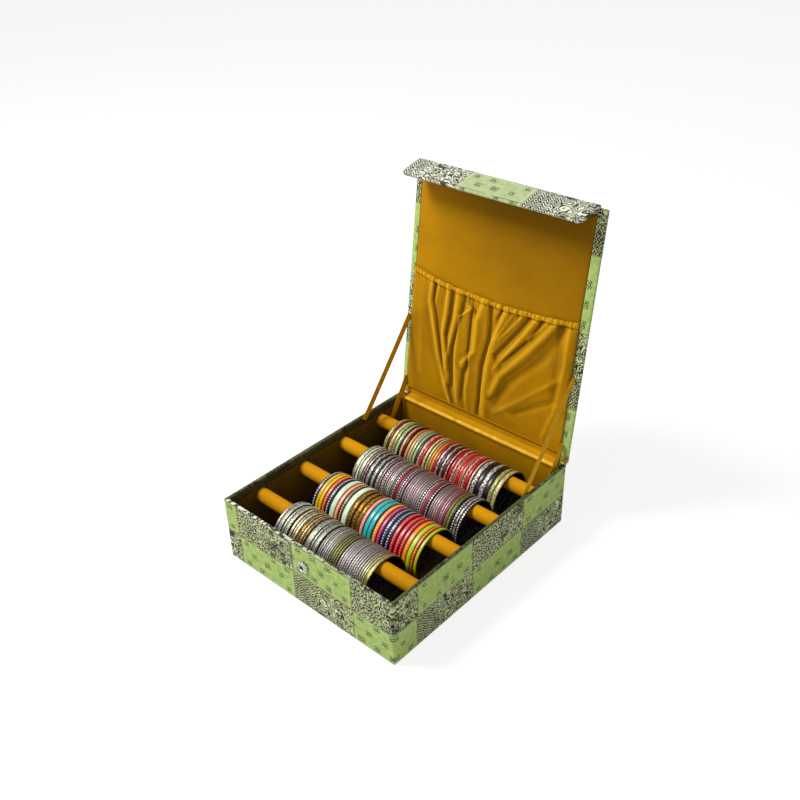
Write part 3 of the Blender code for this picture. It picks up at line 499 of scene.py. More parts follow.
def clothWobble(place, size, height):
    return height * (0.5 + 0.5 * noise.noise(Vector(place) / size))


def bell(away):
    return math.exp(-away ** 2)


def spread(low, high, count):
    return [low + (high - low) * k / count for k in range(count + 1)]


def gridPiece(name, rows, material, uvRows=None, closeAcross=False, caps=False):
    # rows of points skinned to one another; uvRows has a point more where a row closes on itself
    columns, last = len(rows[0]), len(rows) - 1
    corners = [((i, j), (i, j + 1), (i + 1, j + 1), (i + 1, j))
               for i in range(last) for j in range(columns if closeAcross else columns - 1)]
    if caps:
        corners.append([(0, j) for j in reversed(range(columns))])
        corners.append([(last, j) for j in range(columns)])
    faces = [[i * columns + j % columns for i, j in corner] for corner in corners]
    mesh = bpy.data.meshes.new(name)
    mesh.from_pydata([tuple(point) for row in rows for point in row], [], faces)
    if uvRows:
        flat = [number for corner in corners for i, j in corner for number in uvRows[i][j]]
        mesh.uv_layers.new(name="cloth").data.foreach_set("uv", flat)
    mesh.shade_smooth()
    return linkObject(name, mesh, material)


def writeFoldShading(piece, foldShading):
    # the fold attribute: how much painted shade (towards 0) or painted highlight (towards 1) the velvet gets at each
    # point
    piece.data.attributes.new("fold", "FLOAT", "POINT").data.foreach_set("value", foldShading)


def tidyNormals(piece, weld=True):
    bm = bmesh.new()
    bm.from_mesh(piece.data)
    if weld:
        bmesh.ops.remove_doubles(bm, verts=bm.verts, dist=0.000001)
    bmesh.ops.recalc_face_normals(bm, faces=bm.faces)
    bm.to_mesh(piece.data)
    bm.free()


def thicken(piece, thickness, offset=-1.0):
    solid = piece.modifiers.new("thickness", "SOLIDIFY")
    solid.thickness = thickness
    solid.offset = offset


def sharpen(piece, degrees):
    piece.data.set_sharp_from_angle(angle=math.radians(degrees))


def settled(piece):
    # replace a piece's modifiers by their result
    depsgraph = bpy.context.evaluated_depsgraph_get()
    mesh = bpy.data.meshes.new_from_object(piece.evaluated_get(depsgraph))
    piece.modifiers.clear()
    piece.data = mesh
    mesh.shade_smooth()


def ringPlaces(lengthX, lengthY, step, cornerSteps):
    # stations round a rectangle from its front left corner: kind, side, share along it, running length
    stations = []
    run = 0.0
    for side, length in enumerate((lengthX, lengthY) * 2):
        stations += [("corner", side, (k + 0.5) / cornerSteps, run) for k in range(cornerSteps)]
        count = max(int(length / step), 1)
        stations += [("side", side, k / count, run + length * k / count) for k in range(count + 1)]
        run += length
    return stations, run


def ringPoint(station, low, high, radius):
    # a point of a rounded rectangle for one station; sides: front, right, rear, left
    kind, side, share, _ = station
    inward = ((1, 1), (-1, 1), (-1, -1), (1, -1))
    corners = ((low[0], low[1]), (high[0], low[1]), (high[0], high[1]), (low[0], high[1]))
    start, end = list(corners[side]), list(corners[(side + 1) % 4])
    if kind == "corner":
        turn = math.radians(180.0 + 90.0 * side + 90.0 * share)
        return tuple(start[axis] + inward[side][axis] * radius + radius * wave(turn)
                     for axis, wave in enumerate((math.cos, math.sin)))
    axis = side % 2
    start[axis] += radius * inward[side][axis]
    end[axis] += radius * inward[(side + 1) % 4][axis]
    return tuple(start[axis] + (end[axis] - start[axis]) * share for axis in (0, 1))


# Padding: the cloth is blown up while its edge is held, and the result is kept
paddingShape = {
    "frames": 20,
    "pressure": 4.0,
    "tension": 14.0,
    "weight": 0.2,
}


def inflated(piece, held, outward, swell, look):
    mesh = piece.data
    if sum((face.normal for face in mesh.polygons), Vector()).dot(outward) < 0.0:
        mesh.flip_normals()
    scene = bpy.context.scene
    group = piece.vertex_groups.new(name="held")
    group.add(held, 1.0, "REPLACE")
    cloth = piece.modifiers.new("padding", "CLOTH")
    cloth.settings.vertex_group_mass = group.name
    cloth.settings.use_pressure = True
    cloth.settings.uniform_pressure_force = look["pressure"]
    cloth.settings.effector_weights.gravity = 0.0
    cloth.settings.tension_stiffness = look["tension"]
    cloth.settings.mass = look["weight"]
    cloth.collision_settings.use_collision = False
    cloth.point_cache.frame_start = 1
    cloth.point_cache.frame_end = look["frames"]
    for number in range(1, look["frames"] + 1):
        scene.frame_set(number)
    blown = piece.evaluated_get(bpy.context.evaluated_depsgraph_get()).data
    places = [vertex.co.copy() for vertex in blown.vertices]
    piece.modifiers.remove(cloth)
    for vertex, place in zip(mesh.vertices, places):
        step = place - vertex.co
        vertex.co += step * (swell / (swell + step.length))
    largest = max((place - vertex.co).length for vertex, place in zip(mesh.vertices, places))
    print("%s padded, its cloth left %.2f mm short of the free swell" % (piece.name, largest / mm))
    piece.vertex_groups.clear()
    scene.frame_set(1)


# The brocade wrap of the base
wrapShape = {
    "step": 5 * mm,
    "levels": 12,
    "cloth": 0.6 * mm,
    "wallThick": 4.6 * mm,
    "cornerRadius": 2.0 * mm,
    "bottomRound": 1.6 * mm,
    "topRound": 1.1 * mm,
    "turnIn": 9.7 * mm,
    "underMargin": 14 * mm,
    "slack": 0.25 * mm,
    "slackSize": 26 * mm,
    "topSlack": 0.14 * mm,
    "topSlackSize": 12 * mm,
}


def baseWrap(look):
    # each ring of the wrap: how far it lies inside the walls, its height, its place up the cloth
    top, rise, foot, inner, under = [boxHeight] + [look[key] for key in (
        "topRound", "bottomRound", "wallThick", "underMargin")]
    profile = [(under, 0.0, -under), (foot * 2, 0.0, -foot * 2), (foot, 0.0, -foot)]
    profile += [(foot * (1 - sine), foot * (1 - cosine), 0.0) for sine, cosine in quarterTurn[1:4]]
    profile += [(0.0, z, z) for z in spread(foot, top - rise, look["levels"])]
    profile += [(rise * (1 - cosine), top - rise + rise * sine, top - rise + rise * k / 4 * 1.57)
                for k, (sine, cosine) in enumerate(quarterTurn) if k]
    profile.append((inner - rise, top, top + inner - 2 * rise))
    profile += [(inner - rise + rise * sine, top - rise * (1 - cosine), top + inner - rise)
                for sine, cosine in quarterTurn[1:]]
    profile += [(inner, top - drop, top + inner + drop) for drop in spread(rise, look["turnIn"], 3)[1:]]
    stations, around = ringPlaces(2 * halfWidth, 2 * halfDepth, look["step"], 4)
    rows = []
    for inset, z, _ in profile:
        row = []
        low, high = (-halfWidth + inset, -halfDepth + inset), (halfWidth - inset, halfDepth - inset)
        for station in stations:
            x, y = ringPoint(station, low, high, max(look["cornerRadius"] - inset, 0.3 * mm))
            swell = clothWobble((x, y, z), look["slackSize"], look["slack"]) if inset < 0.1 * mm else 0.0
            atTop = abs(z - top) < 0.01 * mm
            lift = clothWobble((x, y, 0.5), look["topSlackSize"], look["topSlack"]) if atTop else 0.0
            if abs(x / halfWidth) > abs(y / halfDepth):
                x += math.copysign(swell, x)
            else:
                y += math.copysign(swell, y)
            row.append((x, y, z + lift))
        rows.append(row)
    uvRows = [[(station[3], v) for station in stations] + [(around, v)] for _, _, v in profile]
    piece = gridPiece("brocadeWrap", rows, brocadeBase, uvRows, closeAcross=True)
    sharpen(piece, 50)
    thicken(piece, look["cloth"])
    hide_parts("outer_wrap")
    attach(piece, "base")


baseWrap(wrapShape)
print("base wrap made")


# Lid: brocade cover with a margin round the velvet, and the padded velvet panel
lidShape = {
    "length": 301.8 * mm,
    "start": 0.6 * mm,
    "faceRise": 0.4 * mm,
    "back": -3.2 * mm,
    "cloth": 0.45 * mm,
    "marginLeft": 8 * mm,
    "marginRight": 11 * mm,
    "marginTop": 7.5 * mm,
    "marginFoot": 9.4 * mm,
    "edgeRound": 0.9 * mm,
    "cornerRadius": 0.8 * mm,
    "step": 6 * mm,
    "backRings": (12 * mm, 40 * mm, 80 * mm, 118 * mm),
    "sideBand": (11.5 * mm, 12 * mm, 290 * mm),
    "panelBack": -0.1 * mm,
    "panelRise": 2.4 * mm,
    "panelSwell": 1.0 * mm,
    "panelEdge": 3.0 * mm,
    "panelCounts": (46, 54),
    "panelCloth": 0.4 * mm,
}


def panelSpan(look, inset):
    # the low and high corner of the velvet's window, across and up the lid
    low = (-halfWidth + look["marginLeft"] + inset, look["start"] + look["marginFoot"] + inset)
    high = (halfWidth - look["marginRight"] - inset, look["length"] - look["marginTop"] - inset)
    return low, high


def lidCover(look):
    stations, _ = ringPlaces(2 * halfWidth, look["length"], look["step"], 4)
    low, high = panelSpan(look, 0.0)
    face, back, bend = look["faceRise"], look["back"], look["edgeRound"]
    bands = [(low, high, face - 0.5 * mm), (low, high, face)]
    rings = [(bend, face), (bend * 0.3, face - bend * 0.3), (0.0, face - bend), (0.0, back + bend),
             (bend * 0.3, back + bend * 0.3), (bend, back)] + [(inset, back) for inset in look["backRings"]]
    for inset, n in rings:
        bands.append(((-halfWidth + inset, look["start"] + inset), (halfWidth - inset, look["length"] - inset), n))
    rows = []
    for low, high, n in bands:
        row = []
        for station in stations:
            x, s = ringPoint(station, low, high, look["cornerRadius"])
            swell = clothWobble((x, s, n), 30 * mm, 0.1 * mm if n > 0 else 0.25 * mm)
            row.append(lidPoint(x, s, n + (swell if n > 0 else -swell if n < back + 0.1 * mm else 0.0)))
        rows.append(row)
    piece = gridPiece("lidBrocade", rows, brocade, closeAcross=True)
    bm = bmesh.new()
    bm.from_mesh(piece.data)
    bm.verts.ensure_lookup_table()
    bm.faces.new(bm.verts[-len(stations):])
    bmesh.ops.recalc_face_normals(bm, faces=bm.faces)
    layer = bm.loops.layers.uv.new("cloth")
    origin = lidPoint(0, 0, 0)
    up = (lidPoint(0, 1, 0) - origin).normalized()
    outward = (lidPoint(0, 0, -1) - origin).normalized()
    bandWidth, bandFoot, bandTop = look["sideBand"]
    for bmFace in bm.faces:
        centre = bmFace.calc_center_median() - origin
        s = centre.dot(up)
        onBack = bmFace.normal.dot(outward) > 0.7
        bySide = abs(centre.x) > halfWidth - bandWidth and bandFoot < s < bandTop
        for loop in bmFace.loops:
            place = loop.vert.co - origin
            height, depth = place.dot(up), place.dot(outward)
            if onBack:
                loop[layer].uv = (place.x + halfWidth, height)
            elif bySide:
                loop[layer].uv = (height + 40 * mm, halfWidth - abs(place.x) + depth + 28 * mm)
            else:
                loop[layer].uv = (place.x + halfWidth, height + depth)
        # the velvet of the hinge runs on over the lid's foot
        if not onBack and s < look["marginFoot"] and centre.dot(outward) < -0.2 * mm:
            bmFace.material_index = 1
    bm.to_mesh(piece.data)
    bm.free()
    piece.data.materials.append(litHingeVelvet)
    piece.data.shade_smooth()
    sharpen(piece, 50)
    thicken(piece, look["cloth"])
    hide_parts("lid_cover")
    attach(piece, "lid")


def padHeight(x, s, low, high, edge, rise):
    # rises steeply at the edge of the pad, then flattens into a gentle crown
    reach = min(x - low[0], high[0] - x, s - low[1], high[1] - s)
    share = min(max(reach / edge, 0.0), 1.0)
    rim = math.sqrt(max(1.0 - (1.0 - share) ** 2, 0.0))
    waveX, waveS = [math.sin(math.pi * (place - low[k]) / (high[k] - low[k])) for k, place in enumerate((x, s))]
    crown = waveX * waveS
    return rise * (0.82 * rim + 0.18 * max(crown, 0.0) ** 0.5 * rim)


def padStations(low, high, edge, count):
    # close together at both edges, even between them
    near = [edge * share for share in (0.0, 0.15, 0.35, 0.6, 0.85, 1.0)]
    even = [low + edge + (high - low - 2 * edge) * k / count for k in range(1, count)]
    return [low + inset for inset in near] + even + [high - inset for inset in reversed(near)]


def lidPanel(look):
    low, high = panelSpan(look, 0.3 * mm)
    edge, height = look["panelEdge"], look["panelRise"]
    columns, lines = [padStations(low[k], high[k], edge, look["panelCounts"][k]) for k in (0, 1)]
    rows = []
    for s in lines:
        row = []
        for x in columns:
            rise = padHeight(x, s, low, high, edge, height)
            slack = clothWobble((x, s, 3.0), 38 * mm, 0.5 * mm) * min(rise / height, 1.0)
            row.append(lidPoint(x, s, look["panelBack"] + rise + slack))
        rows.append(row)
    piece = gridPiece("lidPanel", rows, velvet)
    count = len(columns)
    rim = [k for k in range(count * len(lines)) if k % count in (0, count - 1) or k // count in (0, len(lines) - 1)]
    inside = lidPoint(0, 0, 1) - lidPoint(0, 0, 0)
    inflated(piece, rim, inside, look["panelSwell"], paddingShape)
    thicken(piece, look["panelCloth"])
    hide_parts("lid_lining")
    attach(piece, "lid")


lidCover(lidShape)
lidPanel(lidShape)
print("lid made")


# Gathered pocket: ridges and valleys that run from the elastic hem and fan in towards the foot.
# Each line is its place across the lid, in millimetres, at a few heights up the lid, then its height and width.
pocketShape = {
    "leftFoot": -121.8 * mm,
    "leftHem": -119.2 * mm,
    "right": 117.2 * mm,
    "sideRound": 5 * mm,
    "foot": 12.6 * mm,
    "footRound": 26 * mm,
    "columns": 240,
    "rows": 150,
    "cloth": 0.5 * mm,
    "room": 4.6 * mm,
    "overPanel": 1.1 * mm,
    "highest": 8.1 * mm,
    "sag": 1.4,
    "hemHeight": 6.6 * mm,
    "hemPuff": 2.3 * mm,
    "hemGroove": (0.7, 1.12, 1.1 * mm),
    "foldReach": 11,
    "hemLine": ((-116, 175.4), (-85, 169.8), (-48, 166.6), (-18, 166.0), (11, 165.0), (66, 168.6), (111, 173.6),
                (116, 174.4)),
    "ridges": (
        (((-89, 166), (-90, 137), (-72, 76), (-48, 16)), 2.6, 3.4),
        (((-100, 168), (-103, 120), (-98, 40)), 1.2, 9.0),
        (((-76, 165), (-79, 150), (-81, 138)), 1.8, 2.6),
        (((-62, 165), (-64, 132), (-66, 105), (-58, 60)), 2.8, 3.0),
        (((-47, 162), (-50, 123), (-58, 67), (-54, 40)), 2.6, 3.0),
        (((-27, 146), (-43, 132), (-44, 73), (-36, 20)), 2.4, 2.6),
        (((-9, 165), (-17, 134), (-17, 95), (-33, 74)), 3.4, 4.6),
        (((-22, 60), (-24, 40), (-20, 14)), 1.8, 2.2),
        (((26, 166), (15, 135), (7, 110), (2, 49), (4, 16)), 3.4, 4.0),
        (((38, 166), (27, 146), (12, 118)), 1.9, 1.9),
        (((50, 166), (36, 146), (18, 122)), 1.9, 1.9),
        (((67, 166), (50, 137), (15, 83)), 2.4, 3.2),
        (((94, 170), (59, 121), (23, 77), (14, 50)), 3.2, 7.0),
        (((84, 169), (72, 152), (58, 136)), 1.8, 2.6),
        (((103, 100), (55, 56), (22, 27)), 1.8, 7.0),
        (((108, 172), (109, 120), (104, 60), (92, 20)), 1.6, 4.0),
    ),
    "valleys": (
        (((-83, 165), (-84, 140), (-66, 72), (-44, 16)), 2.6, 2.2),
        (((-56, 164), (-57, 130), (-61, 100), (-52, 60)), 3.0, 2.6),
        (((-38, 162), (-40, 140), (-50, 90), (-47, 40)), 3.0, 3.0),
        (((-28, 164), (-30, 152), (-20, 146)), 2.4, 4.2),
        (((1, 165), (3, 115), (-4, 80), (-2, 34), (-4, 16)), 4.2, 3.0),
        (((-25, 72), (-30, 60), (-30, 30)), 2.4, 3.0),
        (((20, 164), (12, 146)), 2.4, 2.2),
        (((58, 166), (42, 140), (14, 100)), 2.4, 3.6),
        (((76, 167), (60, 136), (22, 92)), 2.0, 3.4),
        (((102, 166), (74, 116), (34, 72), (18, 40)), 3.0, 9.0),
        (((100, 72), (50, 36)), 1.6, 8.0),
    ),
}


def alongLine(points, s):
    # the line's place across at height s, and how fully it is there (it fades past its foot)
    if s >= points[0][1]:
        return points[0][0], 1.0
    for (x0, s0), (x1, s1) in zip(points, points[1:]):
        if s0 >= s > s1:
            return x0 + (x1 - x0) * (s0 - s) / (s0 - s1), 1.0
    return points[-1][0], max(1.0 - (points[-1][1] - s) / 10.0, 0.0)


def hemHeightAt(look, x):
    line = look["hemLine"]
    for (x0, s0), (x1, s1) in zip(line, line[1:]):
        if x <= x1:
            return s0 + (s1 - s0) * max(x - x0, 0.0) / (x1 - x0)
    return line[-1][1]


def pleat(x):
    # the small pleats that the elastic makes, at x millimetres across
    return math.sin(x * 1.05 + 1.3 * math.sin(x * 0.23))


def pocketRelief(look, x, s, top):
    # height of the cloth over the padded panel, all in millimetres
    rise = 0.0
    for points, height, width in look["ridges"]:
        centre, share = alongLine(points, s)
        away = (x - centre) / width
        if abs(away) < 4.0:
            rise += height * share / (1.0 + (away * 1.1) ** 2) ** 1.4
    for points, height, width in look["valleys"]:
        centre, share = alongLine(points, s)
        away = (x - centre) / width
        if abs(away) < 3.0:
            rise -= height * share * bell(away)
    near = max(1.0 - (top - s) / 24.0, 0.0)
    return rise + pleat(x) * 0.75 * near ** 1.5 + 0.8 * ripple(x / 26.0, s / 60.0, 4.0)


def foldShades(reliefs, reach):
    # painted light: 1 (painted highlight) on a crest, 0 (painted shade) in a valley, by each point's height over its
    # neighbours to both sides
    shades = []
    for j, relief in enumerate(reliefs):
        near = reliefs[max(j - reach, 0):j + reach + 1]
        shades.append(min(max(0.5 + (relief - sum(near) / len(near)) / 4.2, 0.0), 1.0))
    return shades


def gatheredPocket(look):
    rows, uvRows, foldShading = [], [], []
    right, foot, hem, room = [look[key] for key in ("right", "foot", "hemHeight", "room")]
    panelLow, panelHigh = panelSpan(lidShape, 0.0)
    grooveDepth, grooveShare, grooveWidth = look["hemGroove"]
    for up in spread(0.0, 1.0, look["rows"]):
        left = look["leftFoot"] + (look["leftHem"] - look["leftFoot"]) * up
        row, uvRow, reliefRow, hemShade = [], [], [], []
        for x in spread(left, right, look["columns"]):
            top = hemHeightAt(look, x / mm) * mm
            s = foot + (top - foot) * up
            panel = padHeight(x, s, panelLow, panelHigh, lidShape["panelEdge"], lidShape["panelRise"])
            fromSide = max(min(x - left, right - x), 0.0) / look["sideRound"]
            rim, base = [math.sin(min(share, 1.0) * math.pi / 2) ** 0.8
                         for share in (fromSide, (s - foot) / look["footRound"])]
            relief = pocketRelief(look, x / mm, s / mm, top / mm) + look["sag"]
            lift = room * (1.0 - math.exp(-max(relief, 0.0) * mm * 1.35 / room)) * rim * base
            inHem = max(1.0 - (top - s) / hem, 0.0)
            bunch = 0.5 + 0.3 * pleat(x / mm) + 0.6 * ripple(x / (5.2 * mm), (top - s) / (9 * mm), 6.0)
            cord = max(math.sin(inHem * math.pi), 0.0) ** 0.7
            puff = look["hemPuff"] * cord * (0.74 + 0.26 * bunch) * rim
            groove = grooveDepth * bell((top - s - hem * grooveShare) / grooveWidth) * rim
            n = panel + look["overPanel"] + max(lift + puff - groove * mm, 0.0)
            row.append(lidPoint(x, s, min(n, look["highest"])))
            reliefRow.append(relief * (1.0 - cord) + bunch * 2.2 * cord)
            # painted highlight on the hem's cord, in a band low in the hem and along the pocket's right edge; painted
            # shade in the groove under the cord
            rightLight = 0.34 * bell((right - x) / (2.6 * mm))
            hemShade.append(0.24 * cord - 0.26 * groove + rightLight + 0.22 * bell((inHem - 0.3) / 0.2))
            uvRow.append((x, s))
        rows.append(row)
        uvRows.append(uvRow)
        foldShading += [shade + extra for shade, extra in zip(foldShades(reliefRow, look["foldReach"]), hemShade)]
    piece = gridPiece("gatheredPocket", rows, pocketVelvet, uvRows)
    writeFoldShading(piece, foldShading)
    tidyNormals(piece)
    thicken(piece, look["cloth"])
    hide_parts("lid_pocket", "pocket_elastic_hem")
    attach(piece, "lid")


gatheredPocket(pocketShape)
print("pocket gathered")


# Flap: brocade slab with rounded front corners and a stitched pale edge
flapShape = {
    "turnDeg": 191.5,
    "droop": 0.9 * mm,
    "droopStart": 18 * mm,
    "droopRun": 16 * mm,
    "leftHalf": 125 * mm,
    "rightHalf": 120 * mm,
    "coreInset": 17 * mm,
    "start": 0.9 * mm,
    "end": 35.4 * mm,
    "corner": 6.5 * mm,
    "half": 1.75 * mm,
    "round": 1.1 * mm,
    "rings": (16 * mm, 9 * mm, 4 * mm),
    "patternShift": 65.5 * mm,
    "liningInset": 3.6 * mm,
    "liningFace": 2.25 * mm,
    "step": 4 * mm,
    "stitchInset": 1.4 * mm,
    "stitchPitch": 3.1 * mm,
    "stitchLength": 1.7 * mm,
    "stitchThick": 0.34 * mm,
}
flapTurn = math.radians(flapShape["turnDeg"])
flapDirection = Vector((0.0, math.cos(flapTurn), math.sin(flapTurn)))
flapInside = Vector((0.0, -flapDirection.z, flapDirection.y))


def flapPoint(x, along, n):
    # along runs from the fold to the flap's front edge, n towards its inside
    droop = flapShape["droop"] * max(along - flapShape["droopStart"], 0.0) / flapShape["droopRun"]
    place = flapAxis + flapDirection * along + flapInside * (n + droop)
    return Vector((x, place.y, place.z))


def flapOutline(look, inset):
    # points round the flap, from its rear left corner; only the front corners are round
    left, right = inset - look["leftHalf"], look["rightHalf"] - inset
    start, end = look["start"] + inset, look["end"] - inset
    radius = max(look["corner"] - inset, 0.5 * mm)

    def line(first, last):
        count = max(int(math.dist(first, last) / look["step"]), 1)
        return [tuple(a + (b - a) * k / count for a, b in zip(first, last)) for k in range(count)]

    def corner(x, y, fromDeg):
        turns = [math.radians(fromDeg + 90.0 * k / 8) for k in range(9)]
        return [(x + radius * math.cos(turn), y + radius * math.sin(turn)) for turn in turns]

    return (line((left, start), (right, start)) + line((right, start), (right, end - radius))
            + corner(right - radius, end - radius, 0.0) + line((right - radius, end), (left + radius, end))
            + corner(left + radius, end - radius, 90.0) + line((left, end - radius), (left, start)))


def towardsCore(look, x, along, inset):
    # a point of the outline, drawn in towards the flap's middle line
    middle = (look["start"] + look["end"]) / 2
    coreX = max(min(x, look["rightHalf"] - look["coreInset"]), look["coreInset"] - look["leftHalf"])
    toCore = Vector((coreX - x, middle - along))
    share = min(inset / max(toCore.length, 1 * mm), 0.98)
    return x + toCore.x * share, along + toCore.y * share


def flapSkin(look):
    bend, half = look["round"], look["half"]
    levels = [(inset, half) for inset in look["rings"]]
    levels += [(bend, half), (bend * 0.3, half - bend * 0.3), (0.0, half - bend)]
    levels = [(inset, -n) for inset, n in levels] + levels[::-1]
    rows, uvRows = [], []
    for inset, n in levels:
        row, uvRow = [], []
        for x, along in flapOutline(look, 0.0):
            x, along = towardsCore(look, x, along, inset)
            swell = math.copysign(clothWobble((x, along, n), 22 * mm, 0.2 * mm), n)
            row.append(flapPoint(x, along, n + (swell if inset > bend else 0.0)))
            uvRow.append((x + look["patternShift"], along + (2.0 * half if n > 0 else 0.0)))
        rows.append(row)
        uvRows.append(uvRow + [uvRow[0]])
    piece = gridPiece("flapBrocade", rows, flapBrocade, uvRows, closeAcross=True, caps=True)
    tidyNormals(piece, weld=False)
    sharpen(piece, 60)
    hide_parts("flap_cover")
    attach(piece, "flap")


def flapVelvet(look):
    face = look["liningFace"]
    levels = ((0.0, look["half"] - 0.3 * mm), (0.1 * mm, face - 0.3 * mm), (0.5 * mm, face),
              (5 * mm, face + 0.1 * mm))
    rows = [[flapPoint(*towardsCore(look, x, along, inset), n) for x, along in flapOutline(look, look["liningInset"])]
            for inset, n in levels]
    piece = gridPiece("flapVelvet", rows, velvet, closeAcross=True, caps=True)
    tidyNormals(piece, weld=False)
    sharpen(piece, 60)
    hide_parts("flap_lining")
    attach(piece, "flap")


# Node groups that set a small shape on each of some points: stitches and stones


def stampTree(name, inputs):
    tree = bpy.data.node_groups.new(name, "GeometryNodeTree")
    sockets = {label: tree.interface.new_socket(label, in_out="INPUT", socket_type="NodeSocket" + kind).identifier
               for label, kind in inputs.items()}
    tree.interface.new_socket("Geometry", in_out="OUTPUT", socket_type="NodeSocketGeometry")
    kit = NodeKit(tree)
    return tree, sockets, kit, kit.node("NodeGroupInput").outputs


def stampOut(kit, material, **feeds):
    stamped = kit.signal("GeometryNodeInstanceOnPoints", {key.capitalize(): value for key, value in feeds.items()})
    real = kit.signal("GeometryNodeRealizeInstances", {0: stamped})
    painted = kit.signal("GeometryNodeSetMaterial", {"Geometry": real, "Material": material})
    kit.node("NodeGroupOutput", {0: painted})


def stamped(name, data, tree, sockets, values):
    # the mesh that a node group makes with these values
    holder = linkObject(name, data)
    maker = holder.modifiers.new(name, "NODES")
    maker.node_group = tree
    for label, value in values.items():
        maker[sockets[label]] = value
    depsgraph = bpy.context.evaluated_depsgraph_get()
    mesh = bpy.data.meshes.new_from_object(holder.evaluated_get(depsgraph))
    bpy.data.objects.remove(holder)
    return mesh


def stitchTree(name):
    # small capsules set along a curve at an even pitch
    tree, sockets, kit, given = stampTree(name, {
        "Geometry": "Geometry", "Pitch": "Float", "Length": "Float", "Thickness": "Float", "Thread": "Material"})
    feeds = {"Curve": given["Geometry"], "Length": given["Pitch"]}
    spots = kit.signal("GeometryNodeResampleCurve", feeds, mode="LENGTH")
    ball = kit.signal("GeometryNodeMeshUVSphere", {"Segments": 6, "Rings": 4, "Radius": 0.5}, "Mesh")
    size = kit.vector(given["Thickness"], given["Thickness"], given["Length"])
    turn = kit.signal("FunctionNodeAlignEulerToVector", {"Vector": kit.signal("GeometryNodeInputTangent")}, axis="Z")
    stampOut(kit, given["Thread"], points=spots, instance=ball, rotation=turn, scale=size)
    return tree, sockets


def stitchedLine(name, points, look, thread, body):
    curve = bpy.data.curves.new(name + "Path", "CURVE")
    curve.dimensions = "3D"
    spline = curve.splines.new("POLY")
    spline.points.add(len(points) - 1)
    for point, place in zip(spline.points, points):
        point.co = (*place, 1.0)
    mesh = stamped(name + "Path", curve, *stitchTree("stitchRow"), {
        "Pitch": look["stitchPitch"], "Length": look["stitchLength"],
        "Thickness": look["stitchThick"], "Thread": thread})
    mesh.shade_smooth()
    piece = linkObject(name, mesh)
    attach(piece, body)


# the brocade in paler, greyer colours for the flap: painted sheen
flapLookSheened = dict(brocadeLook, lime=rgb(176, 190, 140), limeDeep=rgb(146, 160, 110), cream=rgb(236, 236, 218),
                grey=rgb(138, 140, 118))
flapBrocade = brocadeMaterial("flapBrocade", flapLookSheened)
flapSkin(flapShape)
flapVelvet(flapShape)
threadMaterial = boardMaterial("darkThread", rgb(48, 46, 30), 2600.0)
edgeLine = [flapPoint(x, along, -flapShape["half"] - 0.02 * mm)
            for x, along in flapOutline(flapShape, flapShape["stitchInset"]) if along > 6 * mm]
stitchedLine("flapStitches", edgeLine, flapShape, threadMaterial, "flap")

# the cloth strip between the lid's top edge and the flap
stripShape = {
    "halfWidth": 119 * mm,
    "thick": 0.8 * mm,
    "bulge": 0.7 * mm,
    "reach": (-0.10, 1.10),
}


def foldStrip(look):
    start, end = [Vector((0.0, axis.y, axis.z)) for axis in (stripAxis, flapAxis)]
    along = (end - start).normalized()
    outward = Vector((0.0, along.z, -along.y))
    columns = spread(-look["halfWidth"], look["halfWidth"], 48)
    rows, uvRows = [], []
    for share in spread(*look["reach"], 8):
        bow = look["bulge"] * math.sin(math.pi * min(max(share, 0.0), 1.0))
        centre = start + (end - start) * share + outward * (bow + look["thick"] * 0.5)
        rows.append([centre + outward * (0.25 * mm * ripple(x / (9 * mm), share * 2.0, 1.0)) + Vector((x, 0.0, 0.0))
                     for x in columns])
        uvRows.append([(x + flapShape["patternShift"], -3 * mm + 4 * mm * share) for x in columns])
    piece = gridPiece("foldStrip", rows, flapBrocade, uvRows)
    thicken(piece, look["thick"], 0.0)
    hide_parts("flap_hinge_cloth")
    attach(piece, "flap_strip")


foldStrip(stripShape)
print("flap made")


# Velvet liners of the base
interior = {
    "sideFace": 122.0 * mm,
    "sideBack": 124.2 * mm,
    "bottom": 4.0 * mm,
    "top": 73.5 * mm,
    "notchRadius": 9.13 * mm,
    "rollPlaces": [(-101.4 + 67.6 * k) * mm for k in range(4)],
    "rollHeight": 64.3 * mm,
    "end": 146 * mm,
    "softEdge": 0.7 * mm,
    "frontPlate": ((-121.7 * mm, -146 * mm, 4 * mm), (121.7 * mm, -143.6 * mm, 73.5 * mm), 0.4 * mm),
    "floorPlate": ((-121.7 * mm, -143.2 * mm, 4 * mm), (121.7 * mm, 140.9 * mm, 6.2 * mm), 0.6 * mm),
    "plateStep": 9 * mm,
}


def sideLiner(look, name, node, side):
    end, top, radius = look["end"], look["top"], look["notchRadius"]
    outline = [(-end, look["bottom"]), (end, look["bottom"]), (end, top)]
    for place in reversed(look["rollPlaces"]):
        outline.append((place + radius, top))
        for turn in spread(0.0, math.pi, 16):
            outline.append((place + radius * math.cos(turn), look["rollHeight"] - radius * math.sin(turn)))
        outline.append((place - radius, top))
    outline.append((-end, top))
    bm = bmesh.new()
    face = bm.faces.new([bm.verts.new((side * look["sideFace"], y, z)) for y, z in outline])
    grown = bmesh.ops.extrude_face_region(bm, geom=[face])
    moved = [v for v in grown["geom"] if isinstance(v, bmesh.types.BMVert)]
    bmesh.ops.translate(bm, verts=moved, vec=(side * (look["sideBack"] - look["sideFace"]), 0.0, 0.0))
    bmesh.ops.recalc_face_normals(bm, faces=bm.faces)
    mesh = bpy.data.meshes.new(name)
    bm.to_mesh(mesh)
    bm.free()
    piece = linkObject(name, mesh, shadedBaseVelvet)
    bevel = piece.modifiers.new("softEdge", "BEVEL")
    bevel.width = look["softEdge"]
    bevel.segments = 3
    bevel.limit_method = "ANGLE"
    bevel.angle_limit = math.radians(50)
    settled(piece)
    sharpen(piece, 40)
    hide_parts(node)
    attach(piece, "base")


